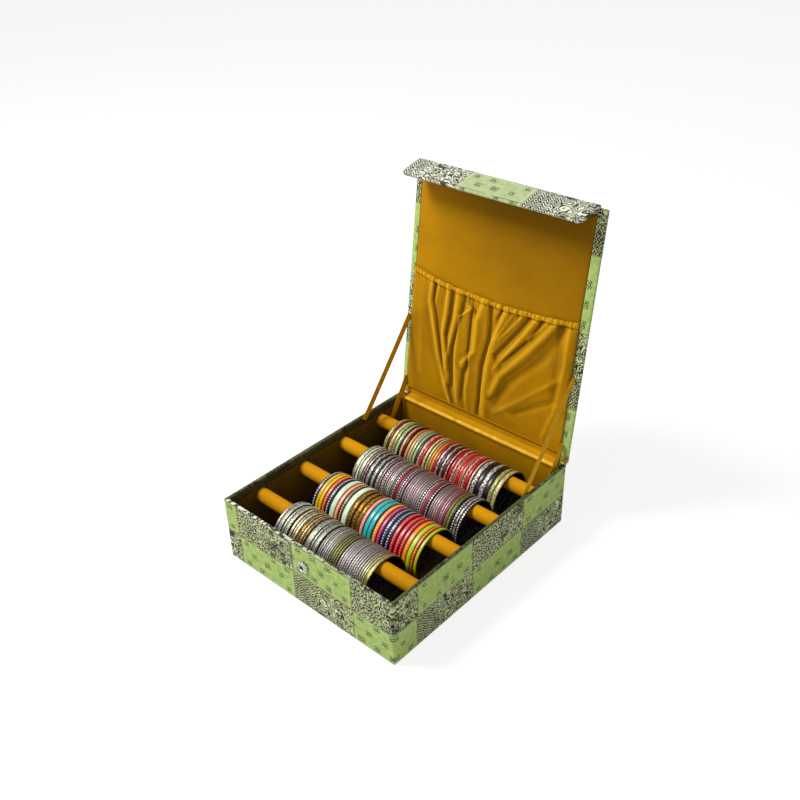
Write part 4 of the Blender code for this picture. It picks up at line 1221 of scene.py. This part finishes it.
def softPlate(name, node, low, high, crown, step, axes, faceHigh):
    # a padded plate that is crowned on one face: axes are the face's two and the one across it
    a, b, c = axes
    counts = [max(int((high[axis] - low[axis]) / step), 3) for axis in (a, b)]
    near, sign = (high[c], 1.0) if faceHigh else (low[c], -1.0)
    rows = []
    for j in range(counts[1] + 1):
        row = []
        for i in range(counts[0] + 1):
            place = [0.0, 0.0, 0.0]
            place[a] = low[a] + (high[a] - low[a]) * i / counts[0]
            place[b] = low[b] + (high[b] - low[b]) * j / counts[1]
            onEdge = i in (0, counts[0]) or j in (0, counts[1])
            place[c] = near - sign * (crown if onEdge else crown - clothWobble(place, 31 * mm, crown))
            row.append(place)
        rows.append(row)
    piece = gridPiece(name, rows, shadedBaseVelvet)
    thicken(piece, abs(high[c] - low[c]) - crown)
    tidyNormals(piece)
    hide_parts(node)
    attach(piece, "base")


# the padded rear liner: face, groove and the rounded rail on top, as depth and height in millimetres
railShape = {
    "profile": ((141.9, 6.4), (141.35, 9.0), (141.2, 20.0), (141.1, 34.0), (141.15, 48.0), (141.4, 60.0),
                (141.7, 70.0), (142.0, 74.4), (142.2, 75.6), (142.0, 76.6), (141.6, 78.0), (141.45, 79.6),
                (141.8, 81.0), (142.7, 82.0), (143.9, 82.4), (144.8, 82.0), (145.1, 80.0), (145.1, 40.0),
                (145.1, 6.4)),
    "half": 121.7 * mm,
    "count": 90,
    "shift": 0.12,
    "softBefore": 144.5,
    # where the painted highlight (crest) and the painted shade (groove) lie: height and width in millimetres
    "crest": (81.2, 1.3),
    "groove": (75.4, 1.2),
    "swell": 0.5 * mm,
}


def rearPad(look):
    half = look["half"]
    rows, foldShading = [], []
    for x in spread(-half, half, look["count"]):
        row = []
        for y, z in look["profile"]:
            shade, soft, pucker = 0.5, 0.0, 0.0
            if y < look["softBefore"]:
                # painted highlight along the rail's crest, painted shade in its groove
                crest = 0.42 * bell((z - look["crest"][0]) / look["crest"][1])
                groove = 0.14 * bell((z - look["groove"][0]) / look["groove"][1])
                shade += crest * (0.75 + 0.5 * ripple(x / (14 * mm), 1.0, 2.0)) - groove
                soft = 0.35 * mm * ripple(x / (24 * mm), z / 16.0, 3.0)
            if 72.0 < z < 80.0 and y < 144.0:
                pucker = 0.25 * mm * ripple(x / (5 * mm), z / 3.0, 8.0)
            foldShading.append(shade)
            row.append(Vector((x, (y + look["shift"]) * mm + max(soft + pucker, -0.1 * mm), z * mm)))
        rows.append(row)
    piece = gridPiece("rearPad", rows, railVelvet, closeAcross=True, caps=True)
    writeFoldShading(piece, foldShading)
    tidyNormals(piece)
    held = [vertex.index for vertex in piece.data.vertices
            if vertex.co.y > 144.4 * mm or abs(vertex.co.x) > half - 0.2 * mm]
    inflated(piece, held, Vector(), look["swell"], paddingShape)
    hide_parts("rear_liner")
    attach(piece, "base")


sideLiner(interior, "sideLinerLeft", "left_side_liner", -1.0)
sideLiner(interior, "sideLinerRight", "right_side_liner", 1.0)
softPlate("frontLiner", "front_liner", *interior["frontPlate"], interior["plateStep"], (0, 2, 1), True)
softPlate("floorLiner", "floor_liner", *interior["floorPlate"], interior["plateStep"], (0, 1, 2), True)
rearPad(railShape)
print("base lined")


# Cloth and ribbons that cross the hinge; a place is (depth, height) in the base or (up, inward) on the lid
hingeShape = {
    "spineHalf": 127.6 * mm,
    "spineThick": 0.7 * mm,
    "spineBase": ((150.95, 71.6), (150.95, 79), (152.2, 83.4), (155.0, 86.2)),
    "spineLid": ((7, -4.0), (12, -4.0)),
    "innerHalf": 118 * mm,
    "innerThick": 0.8 * mm,
    "innerBase": ((140.75, 80.2), (141.15, 81.5), (142.3, 82.75), (143.9, 83.15), (146.2, 83.9),
                  (148.6, 84.6), (150.5, 86.2)),
    "innerLid": ((5.0, 1.3), (9.0, 1.6), (11.2, 3.5), (13.6, 4.9)),
    # where the painted highlight lies along the hinge cloth, and its width
    "lipPlace": 142.0 * mm,
    "lipWidth": 1.7 * mm,
    "strapThick": 0.6 * mm,
    "ribbonWidth": 8.6 * mm,
    "ribbonFoot": (123.6, 73.0, 78.5),
    "ribbonHead": (122.6, 110, 3.4),
    "ribbonBendEnd": 0.8,
    "tapeWidth": 9.6 * mm,
    "tapeFoot": (121.4, 120.5, 57.0),
    "tapeHead": (120.4, 25, 2.4),
    "tapeBendEnd": 0.95,
}


def smoothPath(basePlaces, lidPlaces, count):
    # a smooth path through a few places of the base and of the lid
    points = [Vector((0, y * mm, z * mm)) for y, z in basePlaces]
    points += [lidPoint(0, s * mm, n * mm) for s, n in lidPlaces]
    curve = bpy.data.curves.new("path", "CURVE")
    curve.dimensions = "3D"
    spline = curve.splines.new("BEZIER")
    spline.bezier_points.add(len(points) - 1)
    for knot, place in zip(spline.bezier_points, points):
        knot.co = place
        knot.handle_left_type = knot.handle_right_type = "AUTO"
    curve.resolution_u = max(count // (len(points) - 1), 2)
    holder = bpy.data.objects.new("path", curve)
    mesh = bpy.data.meshes.new_from_object(holder)
    places = [v.co.copy() for v in mesh.vertices]
    bpy.data.objects.remove(holder)
    bpy.data.meshes.remove(mesh)
    return places


def hingeSheet(look, name, node, path, half, thick, material, fold):
    rows, uvRows, foldShading = [], [], []
    run = 0.0
    previous = path[0]
    columns = spread(-half, half, 60)
    for k, place in enumerate(path):
        run += (place - previous).length
        previous = place
        mid = math.sin(math.pi * k / (len(path) - 1))
        rows.append([(x, place.y + fold * mid * ripple(x / (11 * mm), 2.0, 5.0), place.z) for x in columns])
        uvRows.append([(x + half, run) for x in columns])
        # painted highlight along the lip over the rear rail's front top edge
        lip = bell((place.y - look["lipPlace"]) / look["lipWidth"])
        foldShading += [0.52 + 0.5 * lip * (0.8 + 0.7 * ripple(x / (7 * mm), 1.0, 4.0)) for x in columns]
    piece = gridPiece(name, rows, material, uvRows)
    writeFoldShading(piece, foldShading)
    thicken(piece, thick, 0.0)
    settled(piece)
    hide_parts(node)
    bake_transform(piece)


spinePath = smoothPath(hingeShape["spineBase"], hingeShape["spineLid"], 30)
hingeSheet(hingeShape, "spineBrocade", "spine_cloth", spinePath, hingeShape["spineHalf"], hingeShape["spineThick"],
           brocade, 0.35 * mm)
innerPath = smoothPath(hingeShape["innerBase"], hingeShape["innerLid"], 50)
hingeSheet(hingeShape, "innerHingeVelvet", "inner_hinge_cloth", innerPath, hingeShape["innerHalf"],
           hingeShape["innerThick"], hingeHighlightVelvet,
           0.5 * mm)


def strap(look, kind, name, node, side, sag, pinch):
    # a flat ribbon, pinched and tucked at its foot, with a slight belly
    x, y, z = look[kind + "Foot"]
    foot = Vector((side * x * mm, y * mm, z * mm))
    x, s, n = look[kind + "Head"]
    head = lidPoint(side * x * mm, s * mm, n * mm)
    width = look[kind + "Width"]
    rows, uvRows = [], []
    length = (head - foot).length
    along = (head - foot).normalized()
    lengthwise = Vector((0.0, -along.z, along.y)).normalized()
    for share in spread(0.0, 1.0, 44):
        centre = foot + (head - foot) * share - Vector((0.0, 0.0, sag * math.sin(math.pi * share)))
        near = max(1.0 - share * length / (9 * mm), 0.0)
        half = width / 2 * (1.0 - pinch * near)
        row, uvRow = [], []
        for across in spread(-1.0, 1.0, 8):
            tuck = near * 0.9 * mm * math.cos(across * math.pi * 1.5)
            curl = 0.25 * mm * across * across
            row.append(centre + lengthwise * (across * half) - Vector((side * (tuck + curl), 0.0, 0.0)))
            uvRow.append((across * width / 2, share * length))
        rows.append(row)
        uvRows.append(uvRow)
    piece = gridPiece(name, rows, satin, uvRows)
    thicken(piece, look["strapThick"], 0.0)
    settled(piece)
    sharpen(piece, 60)
    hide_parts(node)
    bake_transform(piece)


for side, label in ((-1.0, "Left"), (1.0, "Right")):
    strap(hingeShape, "ribbon", "stayRibbon" + label, "stay_ribbon_" + label.lower(), side, 0.8 * mm, 0.12)
    strap(hingeShape, "tape", "cornerTape" + label, "corner_tape_" + label.lower(), side, 0.4 * mm, 0.0)
print("hinge cloth and ribbons made")


# Press stud: profiles are radius and height in millimetres
snapShape = {
    "place": (0.0, -150.0 * mm, 58.05 * mm),
    "socketProfile": ((0.0, 0.55), (2.3, 0.55), (2.75, 0.9), (2.95, 3.0), (3.3, 3.55), (3.9, 3.75), (4.5, 3.55),
                      (5.0, 2.9), (5.4, 2.3), (6.2, 2.0), (6.9, 2.05), (7.35, 1.75), (7.55, 1.15), (7.5, 0.5),
                      (7.1, 0.12), (0.0, 0.1)),
    "holeRadius": 2.9 * mm,
    "holeRim": 2.6 * mm,
    "studAlong": 26.2 * mm,
    "studBase": 2.3 * mm,
    "studProfile": ((0.0, 3.4), (0.9, 3.35), (1.7, 2.95), (2.15, 2.2), (2.1, 1.6), (1.7, 1.15), (1.75, 0.85),
                    (2.3, 0.75), (4.2, 0.72), (5.0, 0.6), (5.5, 0.3), (5.45, 0.05), (5.0, 0.0), (0.0, 0.0)),
    "sides": 64,
    "smallest": 0.02,
}


def turned(name, profile, centre, axis, look):
    axis = axis.normalized()
    first = Vector((1.0, 0.0, 0.0))
    second = axis.cross(first)
    turns = [2.0 * math.pi * k / look["sides"] for k in range(look["sides"])]
    rows = [[centre + axis * height * mm
             + (first * math.cos(turn) + second * math.sin(turn)) * max(radius, look["smallest"]) * mm
             for turn in turns] for radius, height in profile]
    piece = gridPiece(name, rows, nickel, closeAcross=True, caps=True)
    tidyNormals(piece)
    sharpen(piece, 35)
    return piece


def darkenHole(piece, centre, axis, look):
    # painted shade: the faces inside the socket's hole are made dark
    piece.data.materials.append(holeShade)
    for polygon in piece.data.polygons:
        away = polygon.center - centre
        lift = away.dot(axis)
        if (away - axis * lift).length < look["holeRadius"] and lift < look["holeRim"]:
            polygon.material_index = 1


socketPlace, socketAxis = Vector(snapShape["place"]), Vector((0.0, -1.0, 0.0))
socket = turned("snapSocket", snapShape["socketProfile"], socketPlace, socketAxis, snapShape)
darkenHole(socket, socketPlace, socketAxis, snapShape)
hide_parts("snap_socket")
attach(socket, "base")
studPlace = flapPoint(0.0, snapShape["studAlong"], snapShape["studBase"])
stud = turned("snapStud", snapShape["studProfile"], studPlace, flapInside, snapShape)
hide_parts("snap_stud")
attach(stud, "flap")
print("press stud made")


# Velvet rolls
rollShape = {
    "radius": 8.68 * mm,
    "halfLength": 123.4 * mm,
    "edge": 1.6 * mm,
    "columns": 96,
    "sides": 48,
    "wrinkle": 0.18 * mm,
}


def velvetRoll(look, number, y):
    half, edge = look["halfLength"], look["edge"]
    ends = [(-half + edge * (1 - cosine), look["radius"] - edge * (1 - sine)) for sine, cosine in quarterTurn]
    stations = ends + [(x, look["radius"]) for x in spread(edge - half, half - edge, look["columns"])[1:-1]]
    stations += [(-x, radius) for x, radius in reversed(ends)]
    rows = []
    for x, radius in stations:
        ring = []
        for k in range(look["sides"]):
            turn = 2.0 * math.pi * k / look["sides"]
            crease = look["wrinkle"] * max(ripple(x / (7 * mm), 3.0 * math.sin(turn) + number * 7.0, 2.0), 0.0)
            out = radius - crease
            ring.append((x, y + out * math.cos(turn), interior["rollHeight"] + out * math.sin(turn)))
        rows.append(ring)
    piece = gridPiece("velvetRoll%d" % number, rows, rollVelvet, closeAcross=True, caps=True)
    tidyNormals(piece)
    sharpen(piece, 60)
    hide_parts("roll_%d_sleeve" % number)
    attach(piece, "roll_%d" % number)


for number, y in enumerate(interior["rollPlaces"], 1):
    velvetRoll(rollShape, number, y)
print("rolls covered")


# Bangles: each finish is a tint, an accent, how metallic, how rough, and a pattern
# patterns: 0 plain, 1 dots, 2 twist, 3 glitter, 4 filigree, 5 ribs, 6 beaded rims
bangleFinishes = {
    "oldSilver": ((184, 184, 166), (40, 38, 28), 0.85, 0.38, 4),
    "stonedSilver": ((162, 162, 138), (28, 26, 18), 0.85, 0.42, 4),
    "openwork": ((200, 190, 148), (46, 36, 16), 0.8, 0.36, 4),
    "brownGold": ((166, 128, 62), (66, 42, 20), 0.75, 0.4, 3),
    "meshGrey": ((160, 162, 144), (36, 38, 30), 0.75, 0.4, 4),
    "blackSilver": ((52, 50, 46), (196, 194, 184), 0.55, 0.35, 2),
    "thinOlive": ((154, 150, 94), (40, 38, 20), 0.7, 0.38, 2),
    "pinkSilver": ((204, 196, 192), (46, 40, 38), 0.75, 0.34, 2),
    "oliveRim": ((172, 160, 96), (84, 76, 34), 0.8, 0.36, 4),
    "navyDots": ((28, 32, 70), (226, 226, 220), 0.0, 0.28, 1),
    "yellow": ((234, 190, 14), (196, 130, 4), 0.0, 0.3, 1),
    "redOrangeDots": ((204, 52, 16), (240, 190, 60), 0.0, 0.3, 1),
    "mint": ((208, 230, 192), (160, 184, 146), 0.0, 0.22, 0),
    "salmon": ((226, 132, 98), (246, 196, 160), 0.0, 0.3, 1),
    "brownDots": ((74, 42, 26), (226, 196, 150), 0.0, 0.3, 1),
    "goldGlitter": ((172, 128, 42), (84, 56, 18), 0.7, 0.35, 3),
    "pink": ((222, 120, 112), (250, 200, 180), 0.0, 0.3, 1),
    "turquoise": ((40, 178, 176), (16, 120, 126), 0.0, 0.26, 0),
    "orangeDots": ((238, 120, 24), (250, 226, 150), 0.0, 0.3, 1),
    "magenta": ((178, 22, 92), (236, 120, 150), 0.0, 0.3, 1),
    "crimson": ((190, 8, 34), (236, 140, 130), 0.0, 0.28, 1),
    "orange": ((240, 122, 10), (250, 190, 60), 0.0, 0.3, 1),
    "lime": ((170, 212, 24), (240, 130, 30), 0.0, 0.3, 1),
    "paleGreenSilver": ((194, 194, 164), (52, 50, 36), 0.75, 0.38, 4),
    "pinkGrey": ((188, 162, 154), (46, 32, 32), 0.7, 0.38, 2),
    "blockGrey": ((92, 90, 82), (190, 188, 176), 0.7, 0.36, 3),
    "mauveSilver": ((196, 166, 170), (42, 24, 30), 0.65, 0.34, 2),
    "beaded": ((24, 22, 24), (228, 222, 212), 0.2, 0.3, 1),
    "redGreen": ((140, 16, 54), (190, 170, 160), 0.2, 0.32, 6),
    "plum": ((150, 26, 62), (190, 150, 150), 0.1, 0.3, 0),
    "olive": ((128, 132, 62), (70, 74, 30), 0.3, 0.35, 2),
    "cream": ((224, 214, 160), (150, 128, 64), 0.3, 0.3, 3),
    "darkRed": ((132, 8, 18), (60, 6, 12), 0.2, 0.26, 0),
    "creamPink": ((224, 178, 150), (170, 104, 84), 0.35, 0.3, 5),
    "goldGreen": ((196, 196, 120), (104, 112, 52), 0.4, 0.32, 3),
    "darkGreen": ((36, 58, 34), (120, 140, 70), 0.2, 0.28, 0),
    "maroon": ((78, 6, 20), (180, 120, 90), 0.2, 0.26, 0),
    "orangeGold": ((216, 148, 62), (140, 78, 22), 0.5, 0.3, 5),
    "paleGreen": ((170, 190, 130), (100, 120, 70), 0.3, 0.3, 5),
    "red": ((188, 6, 16), (232, 190, 150), 0.05, 0.24, 0),
    "redGold": ((176, 8, 16), (244, 218, 180), 0.1, 0.28, 6),
    "pinkSequin": ((236, 184, 170), (140, 12, 24), 0.25, 0.3, 3),
    "silverSequin": ((232, 224, 218), (70, 40, 42), 0.6, 0.28, 3),
    "pinkGold": ((222, 150, 128), (150, 84, 70), 0.5, 0.3, 5),
    "silver": ((206, 204, 196), (110, 106, 98), 0.85, 0.28, 5),
    "black": ((22, 22, 24), (110, 106, 98), 0.2, 0.25, 0),
}

# the bangles of each stack from left to right: finish, width in millimetres, and x with how many in a row
bangleStacks = {
    "roll_1_bangles_a": "oldSilver 4 stonedSilver 7 oldSilver 3.4 stonedSilver 7",
    "roll_1_bangles_b": "openwork 4.6 oldSilver 3 openwork 4.6 brownGold 6 openwork 3 brownGold 4.4",
    "roll_1_bangles_c": "meshGrey 9 oldSilver 2.6 meshGrey 7.6",
    "roll_1_bangles_d": "blackSilver 3.2 silver 2.2 blackSilver 3.2 silver 2.2 blackSilver 3.2 pinkSilver 2.4 "
                        "thinOlive 3x4",
    "roll_1_bangles_e": "pinkSilver 2.9x11 oliveRim 3.4 silver 2.2 oliveRim 6.4",
    "roll_2_bangles_a": "navyDots 5.6 yellow 5x2 redOrangeDots 5.6 navyDots 6",
    "roll_2_bangles_b": "mint 8.4 salmon 5.4 brownDots 5.6 mint 8.6 goldGlitter 6.4",
    "roll_2_bangles_c": "goldGlitter 6x2 pink 5.6 turquoise 6.4x2",
    "roll_2_bangles_d": "orangeDots 6 magenta 5.4 navyDots 6.6x2 crimson 5.6",
    "roll_2_bangles_e": "crimson 6.4 crimson 5.4 orange 6.6 lime 6.4 redOrangeDots 4.4 lime 4.4",
    "roll_3_bangles_a": "paleGreenSilver 6.4 mint 3 paleGreenSilver 5.6 pinkGrey 3.4 silverSequin 3",
    "roll_3_bangles_b": "blockGrey 5.4 black 1.6 blockGrey 5.4 black 1.6 blockGrey 4.4 mauveSilver 2.6",
    "roll_3_bangles_c": "mauveSilver 2.6 beaded 2.2 mauveSilver 2.6x2 silver 2 pinkSilver 2.6 thinOlive 2.4 beaded 3 "
                        "plum 2.6 redGreen 3 beaded 3 mauveSilver 2.6",
    "roll_3_bangles_d": "mauveSilver 2.8x2 pinkSilver 2.8 mauveSilver 2.8x2 pinkSilver 2.8 mauveSilver 2.8x2 "
                        "beaded 3.2 silver 1.8 redGreen 3.2 plum 2.6 beaded 3.2",
    "roll_3_bangles_e": "mauveSilver 2.8x2 pinkSilver 2.8 mauveSilver 2.8 redGreen 3 mauveSilver 2.8x2 plum 2.4 "
                        "olive 4x2 black 1.6 beaded 4.4 silverSequin 3.4 beaded 4.4",
    "roll_4_bangles_a": "goldGreen 5 darkRed 2.6 cream 4.6 goldGreen 4.6 paleGreen 4.6 black 2 pinkGold 4 maroon 2.6",
    "roll_4_bangles_b": "orangeGold 4.6 creamPink 3.6 paleGreen 4x2 darkGreen 2.8 pinkSequin 4.4 red 3.4 cream 4",
    "roll_4_bangles_c": "cream 3.4 orangeGold 3.8x2 red 3.6 silverSequin 4 maroon 4 silverSequin 4 maroon 4 "
                        "pinkSequin 3",
    "roll_4_bangles_d": "red 3.8 pinkSequin 4 redGold 4 red 4 redGold 4 pinkSequin 4 red 4 creamPink 3",
    "roll_4_bangles_e": "silverSequin 4.4 black 4.4 silverSequin 4.6 black 4.4 goldGreen 4 cream 4.6",
}

bangleShape = {
    "centreHeight": 43.2 * mm,
    "innerRadius": 30.2 * mm,
    "outerRadius": 32.45 * mm,
    "sides": 84,
    "gap": 0.28 * mm,
    "hang": 0.7 * mm,
    "heavy": 8 * mm,
    "seed": 11,
    "stoneSize": 1.15 * mm,
    "dotPitch": 3.3 * mm,
    "beadPitch": 0.9 * mm,
    "twistPitch": 1.9 * mm,
    "ribPitch": 0.55 * mm,
    "grime": rgb(40, 32, 22),
    "rimShade": rgb(20, 16, 12),
}


def bangleMaterial(name, look):
    # tint, accent and finish come from the mesh; the pattern runs round each bangle on its UV map in metres
    material, kit, shader = newMaterial(name, 0.3)
    tint, accent = kit.attribute("tint", "Color"), kit.attribute("accent", "Color")
    metal, rough, pattern = kit.split(kit.attribute("finish", "Vector"))
    rim = kit.attribute("rim", "Fac")
    uv = kit.uvMap("around")
    around, across, _ = kit.split(uv)

    def chosen(number):
        return kit.calc("COMPARE", pattern * 10.0, float(number), 0.4)

    dotX, dotY = (around / look["dotPitch"]).fract() - 0.5, across / look["dotPitch"]
    dots = kit.fade((dotX * dotX + dotY * dotY).root(), 0.30, 0.24)
    bead = kit.fade(around.pingPong(look["beadPitch"]) / look["beadPitch"], 0.2, 0.45)
    beadedRim = kit.fade(rim, 0.45, 0.58) * bead
    twist = kit.fade(abs(((around + across * 1.1) / look["twistPitch"]).fract() - 0.5), 0.20, 0.32)
    glitter = kit.fade(kit.split(kit.cells(uv, 900.0, "Color"))[0], 0.45, 0.62)
    filigree = kit.fade(kit.cells(uv, 480.0, feature="DISTANCE_TO_EDGE"), 0.14, 0.24)
    ribbed = kit.fade(around.pingPong(look["ribPitch"]) / look["ribPitch"], 0.62, 0.9)
    mask = chosen(1) * dots
    for number, value in enumerate((twist, glitter, filigree, ribbed, beadedRim), 2):
        mask = mask + chosen(number) * value
    grime = kit.noise(uv, 210.0, 3.0)
    base = kit.mix(mask * 0.9, tint, accent)
    base = kit.mix(kit.fade(grime, 0.45, 0.75, 0.0, 0.25), base, look["grime"])
    # painted shade at each bangle's edges, where it meets the next one, and in its bore
    base = kit.mix(kit.fade(rim, 0.60, 0.94, 0.0, 0.9), base, look["rimShade"])
    kit.fill(shader, {
        "Base Color": base, "Metallic": metal, "Roughness": rough + kit.fade(grime, 0.3, 0.7, -0.04, 0.12),
        "Normal": kit.bump(mask * (1.0 - chosen(1)), 0.55, 0.25 * mm),
    })
    return material


def stoneTree(name):
    # a ring of small stones standing on a bangle, their sizes a little uneven
    tree, sockets, kit, given = stampTree(name, {
        "Radius": "Float", "Count": "Int", "Stone Size": "Float",
        "Centre": "Vector", "Seed": "Int", "Stone": "Material"})
    ring = kit.signal("GeometryNodeMeshCircle", {"Vertices": given["Count"], "Radius": given["Radius"]})
    upright = kit.signal("GeometryNodeTransform", {
        "Geometry": ring, "Translation": given["Centre"], "Rotation": (0.0, math.radians(90.0), 0.0)})
    stone = kit.signal("GeometryNodeMeshIcoSphere", {"Radius": 0.5, "Subdivisions": 2}, "Mesh")
    chance = kit.signal("FunctionNodeRandomValue", {2: 0.82, 3: 1.12, "Seed": given["Seed"]}, 1)
    size = kit.calc("MULTIPLY", given["Stone Size"], chance)
    stampOut(kit, given["Stone"], points=upright, instance=stone, scale=size)
    return tree, sockets


def mirrored(half, extra=()):
    # a cross section from its left half, with the points of its bore after it
    return half + list(extra) + [(-offset, out) for offset, out in reversed(half)]


def banglePath(width, wall, pattern):
    # cross section of one bangle: offsets across its width and outward from its bore
    half = width / 2
    bore = [(half * 0.8, 0.0), (-half * 0.8, 0.0)]
    if pattern in (0, 1):
        # a smooth band with a domed outside
        return mirrored([(-half, 0.3 * mm), (-half * 0.96, wall * 0.62), (-half * 0.75, wall * 0.9),
                         (-half * 0.4, wall)]) + bore
    if pattern in (3, 4) and width > 5 * mm:
        # a wide cuff with raised rims and a raised middle band
        return mirrored([(-half, 0.3 * mm), (-half, wall * 0.85), (-half * 0.86, wall), (-half * 0.72, wall * 0.86),
                         (-half * 0.6, wall * 0.7), (-half * 0.3, wall * 0.82)], [(0.0, wall * 0.9)]) + bore
    # a round wire or narrow band
    turns = [math.radians(a) for a in range(-60, 241, 30)]
    return [(-half * math.cos(turn), wall * (0.5 + 0.5 * math.sin(turn))) for turn in turns]


def stackEntries(words):
    entries = []
    for name, widths in zip(words[::2], words[1::2]):
        width, _, count = widths.partition("x")
        entries += [(name, float(width) * mm)] * int(count or 1)
    return entries


def bangleStack(look, node, words, material, stoneMaterials, tree, sockets):
    entries = stackEntries(words.split())
    low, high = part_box(node)
    roll = int(node[5])
    y = interior["rollPlaces"][roll - 1]
    sides, outer, gap, hang = [look[key] for key in ("sides", "outerRadius", "gap", "hang")]
    total = sum(width for _, width in entries)
    scale = (high.x - low.x - gap * (len(entries) - 1)) / total
    chance = random.Random(look["seed"] + roll * 100 + ord(node[-1]))
    verts, faces, uvs, tints, accents, finishes, rims, stones = [[] for _ in range(8)]
    x = low.x
    for finishName, width in entries:
        tint, accent, metal, rough, pattern = bangleFinishes[finishName]
        width *= scale
        heavy = width > look["heavy"]
        wall = (outer - look["innerRadius"]) * chance.uniform(0.86, 1.0)
        section = banglePath(width, wall, pattern)
        middle = x + width / 2
        drop = chance.uniform(0.0, 1.0) * hang * (0.0 if heavy else 1.0)
        shiftY = chance.uniform(-0.5, 0.5) * hang * (0.0 if heavy else 1.0)
        tilt = chance.uniform(-0.4, 0.4) * min(gap / outer, 0.01)
        shade = chance.uniform(0.86, 1.06)
        tintValue = tuple(min(value * shade, 1.0) for value in rgb(*tint)[:3]) + (1.0,)
        turnShift = chance.uniform(0.0, 1.0)
        start, size = len(verts), len(section)
        for k in range(sides):
            turn = 2.0 * math.pi * (k + turnShift) / sides
            for offset, out in section:
                radius = look["innerRadius"] + out
                verts.append((middle + offset + tilt * radius * math.sin(turn), y + shiftY + radius * math.cos(turn),
                              look["centreHeight"] - drop + radius * math.sin(turn)))
                # rim: 0 across the middle of the outside, rising to 1 at its edges and in the bore; it places the
                # painted shade and the beaded rims
                rims.append(min(abs(offset) / (width / 2), 1.0) if out > wall * 0.25 else 1.0)
        count = sides * size
        tints += tintValue * count
        accents += rgb(*accent) * count
        finishes += (metal, rough, pattern / 10.0) * count
        for k in range(sides):
            here, following = start + k * size, start + (k + 1) % sides * size
            u0, u1 = [2.0 * math.pi * outer * turn / sides for turn in (k, k + 1)]
            for j in range(size):
                m = (j + 1) % size
                faces.append((here + j, following + j, following + m, here + m))
                for u, place in ((u0, j), (u1, j), (u1, m), (u0, m)):
                    uvs += (u, section[place][0])
        if finishName in stoneMaterials:
            stoneCount = int(2 * math.pi * outer / (look["stoneSize"] * 2.3))
            for line in (-0.22, 0.22) if width > 6 * mm else (0.0,):
                stones.append({
                    "Radius": look["innerRadius"] + wall * 0.78, "Count": stoneCount, "Stone Size": look["stoneSize"],
                    "Centre": (middle + line * width, y + shiftY, look["centreHeight"] - drop),
                    "Seed": roll * 10 + len(stones), "Stone": stoneMaterials[finishName],
                })
        x += width + gap
    mesh = bpy.data.meshes.new(node + "_shown")
    mesh.from_pydata(verts, [], faces)
    mesh.uv_layers.new(name="around").data.foreach_set("uv", uvs)
    layers = (("tint", "FLOAT_COLOR", "color", tints), ("accent", "FLOAT_COLOR", "color", accents),
              ("finish", "FLOAT_VECTOR", "vector", finishes), ("rim", "FLOAT", "value", rims))
    for label, kind, key, values in layers:
        mesh.attributes.new(label, kind, "POINT").data.foreach_set(key, values)
    mesh.materials.append(material)
    bm = bmesh.new()
    bm.from_mesh(mesh)
    for values in stones:
        extra = stamped("stones", bpy.data.meshes.new("stones"), tree, sockets, values)
        before = len(bm.faces)
        bm.from_mesh(extra)
        bm.faces.ensure_lookup_table()
        for face in bm.faces[before:]:
            face.material_index = 1
        bpy.data.meshes.remove(extra)
    bmesh.ops.recalc_face_normals(bm, faces=bm.faces)
    bm.to_mesh(mesh)
    bm.free()
    if stones:
        mesh.materials.append(stones[0]["Stone"])
    mesh.shade_smooth()
    piece = linkObject("bangles%d%s" % (roll, node[-1].upper()), mesh)
    sharpen(piece, 48)
    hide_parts(node)
    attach(piece, "roll_%d" % roll)
    return piece


def stoneMaterial(name, colour):
    material, kit, shader = newMaterial(name, 0.12, coat=0.5)
    share = kit.fade(kit.noise(kit.place(), 700.0, 1.0), 0.35, 0.6)
    kit.fill(shader, {"Base Color": kit.mix(share, darkened(colour, 0.6), colour)})
    return material


bangleFinish = bangleMaterial("bangleFinish", bangleShape)
stoneLooks = {
    "stonedSilver": stoneMaterial("clearStone", rgb(236, 236, 228)),
    "brownGold": stoneMaterial("amberStone", rgb(190, 150, 90)),
    "blockGrey": stoneMaterial("greyStone", rgb(210, 208, 200)),
}
stoneRing, stoneSockets = stoneTree("stoneRing")
for node, words in bangleStacks.items():
    stack = bangleStack(bangleShape, node, words, bangleFinish, stoneLooks, stoneRing, stoneSockets)
print("bangles stacked")


# Hidden boards, papers, washers and cores keep their own meshes; the first word that fits names the material
hiddenLooks = {"_core": wood, "washer": nickel, "underside_paper": paper, "board": board}
for name, piece in nodes.items():
    fitting = [material for word, material in hiddenLooks.items() if word in name]
    if fitting and not piece.hide_render:
        for materialSlot in piece.material_slots:
            materialSlot.material = fitting[0]
print("hidden pieces painted")
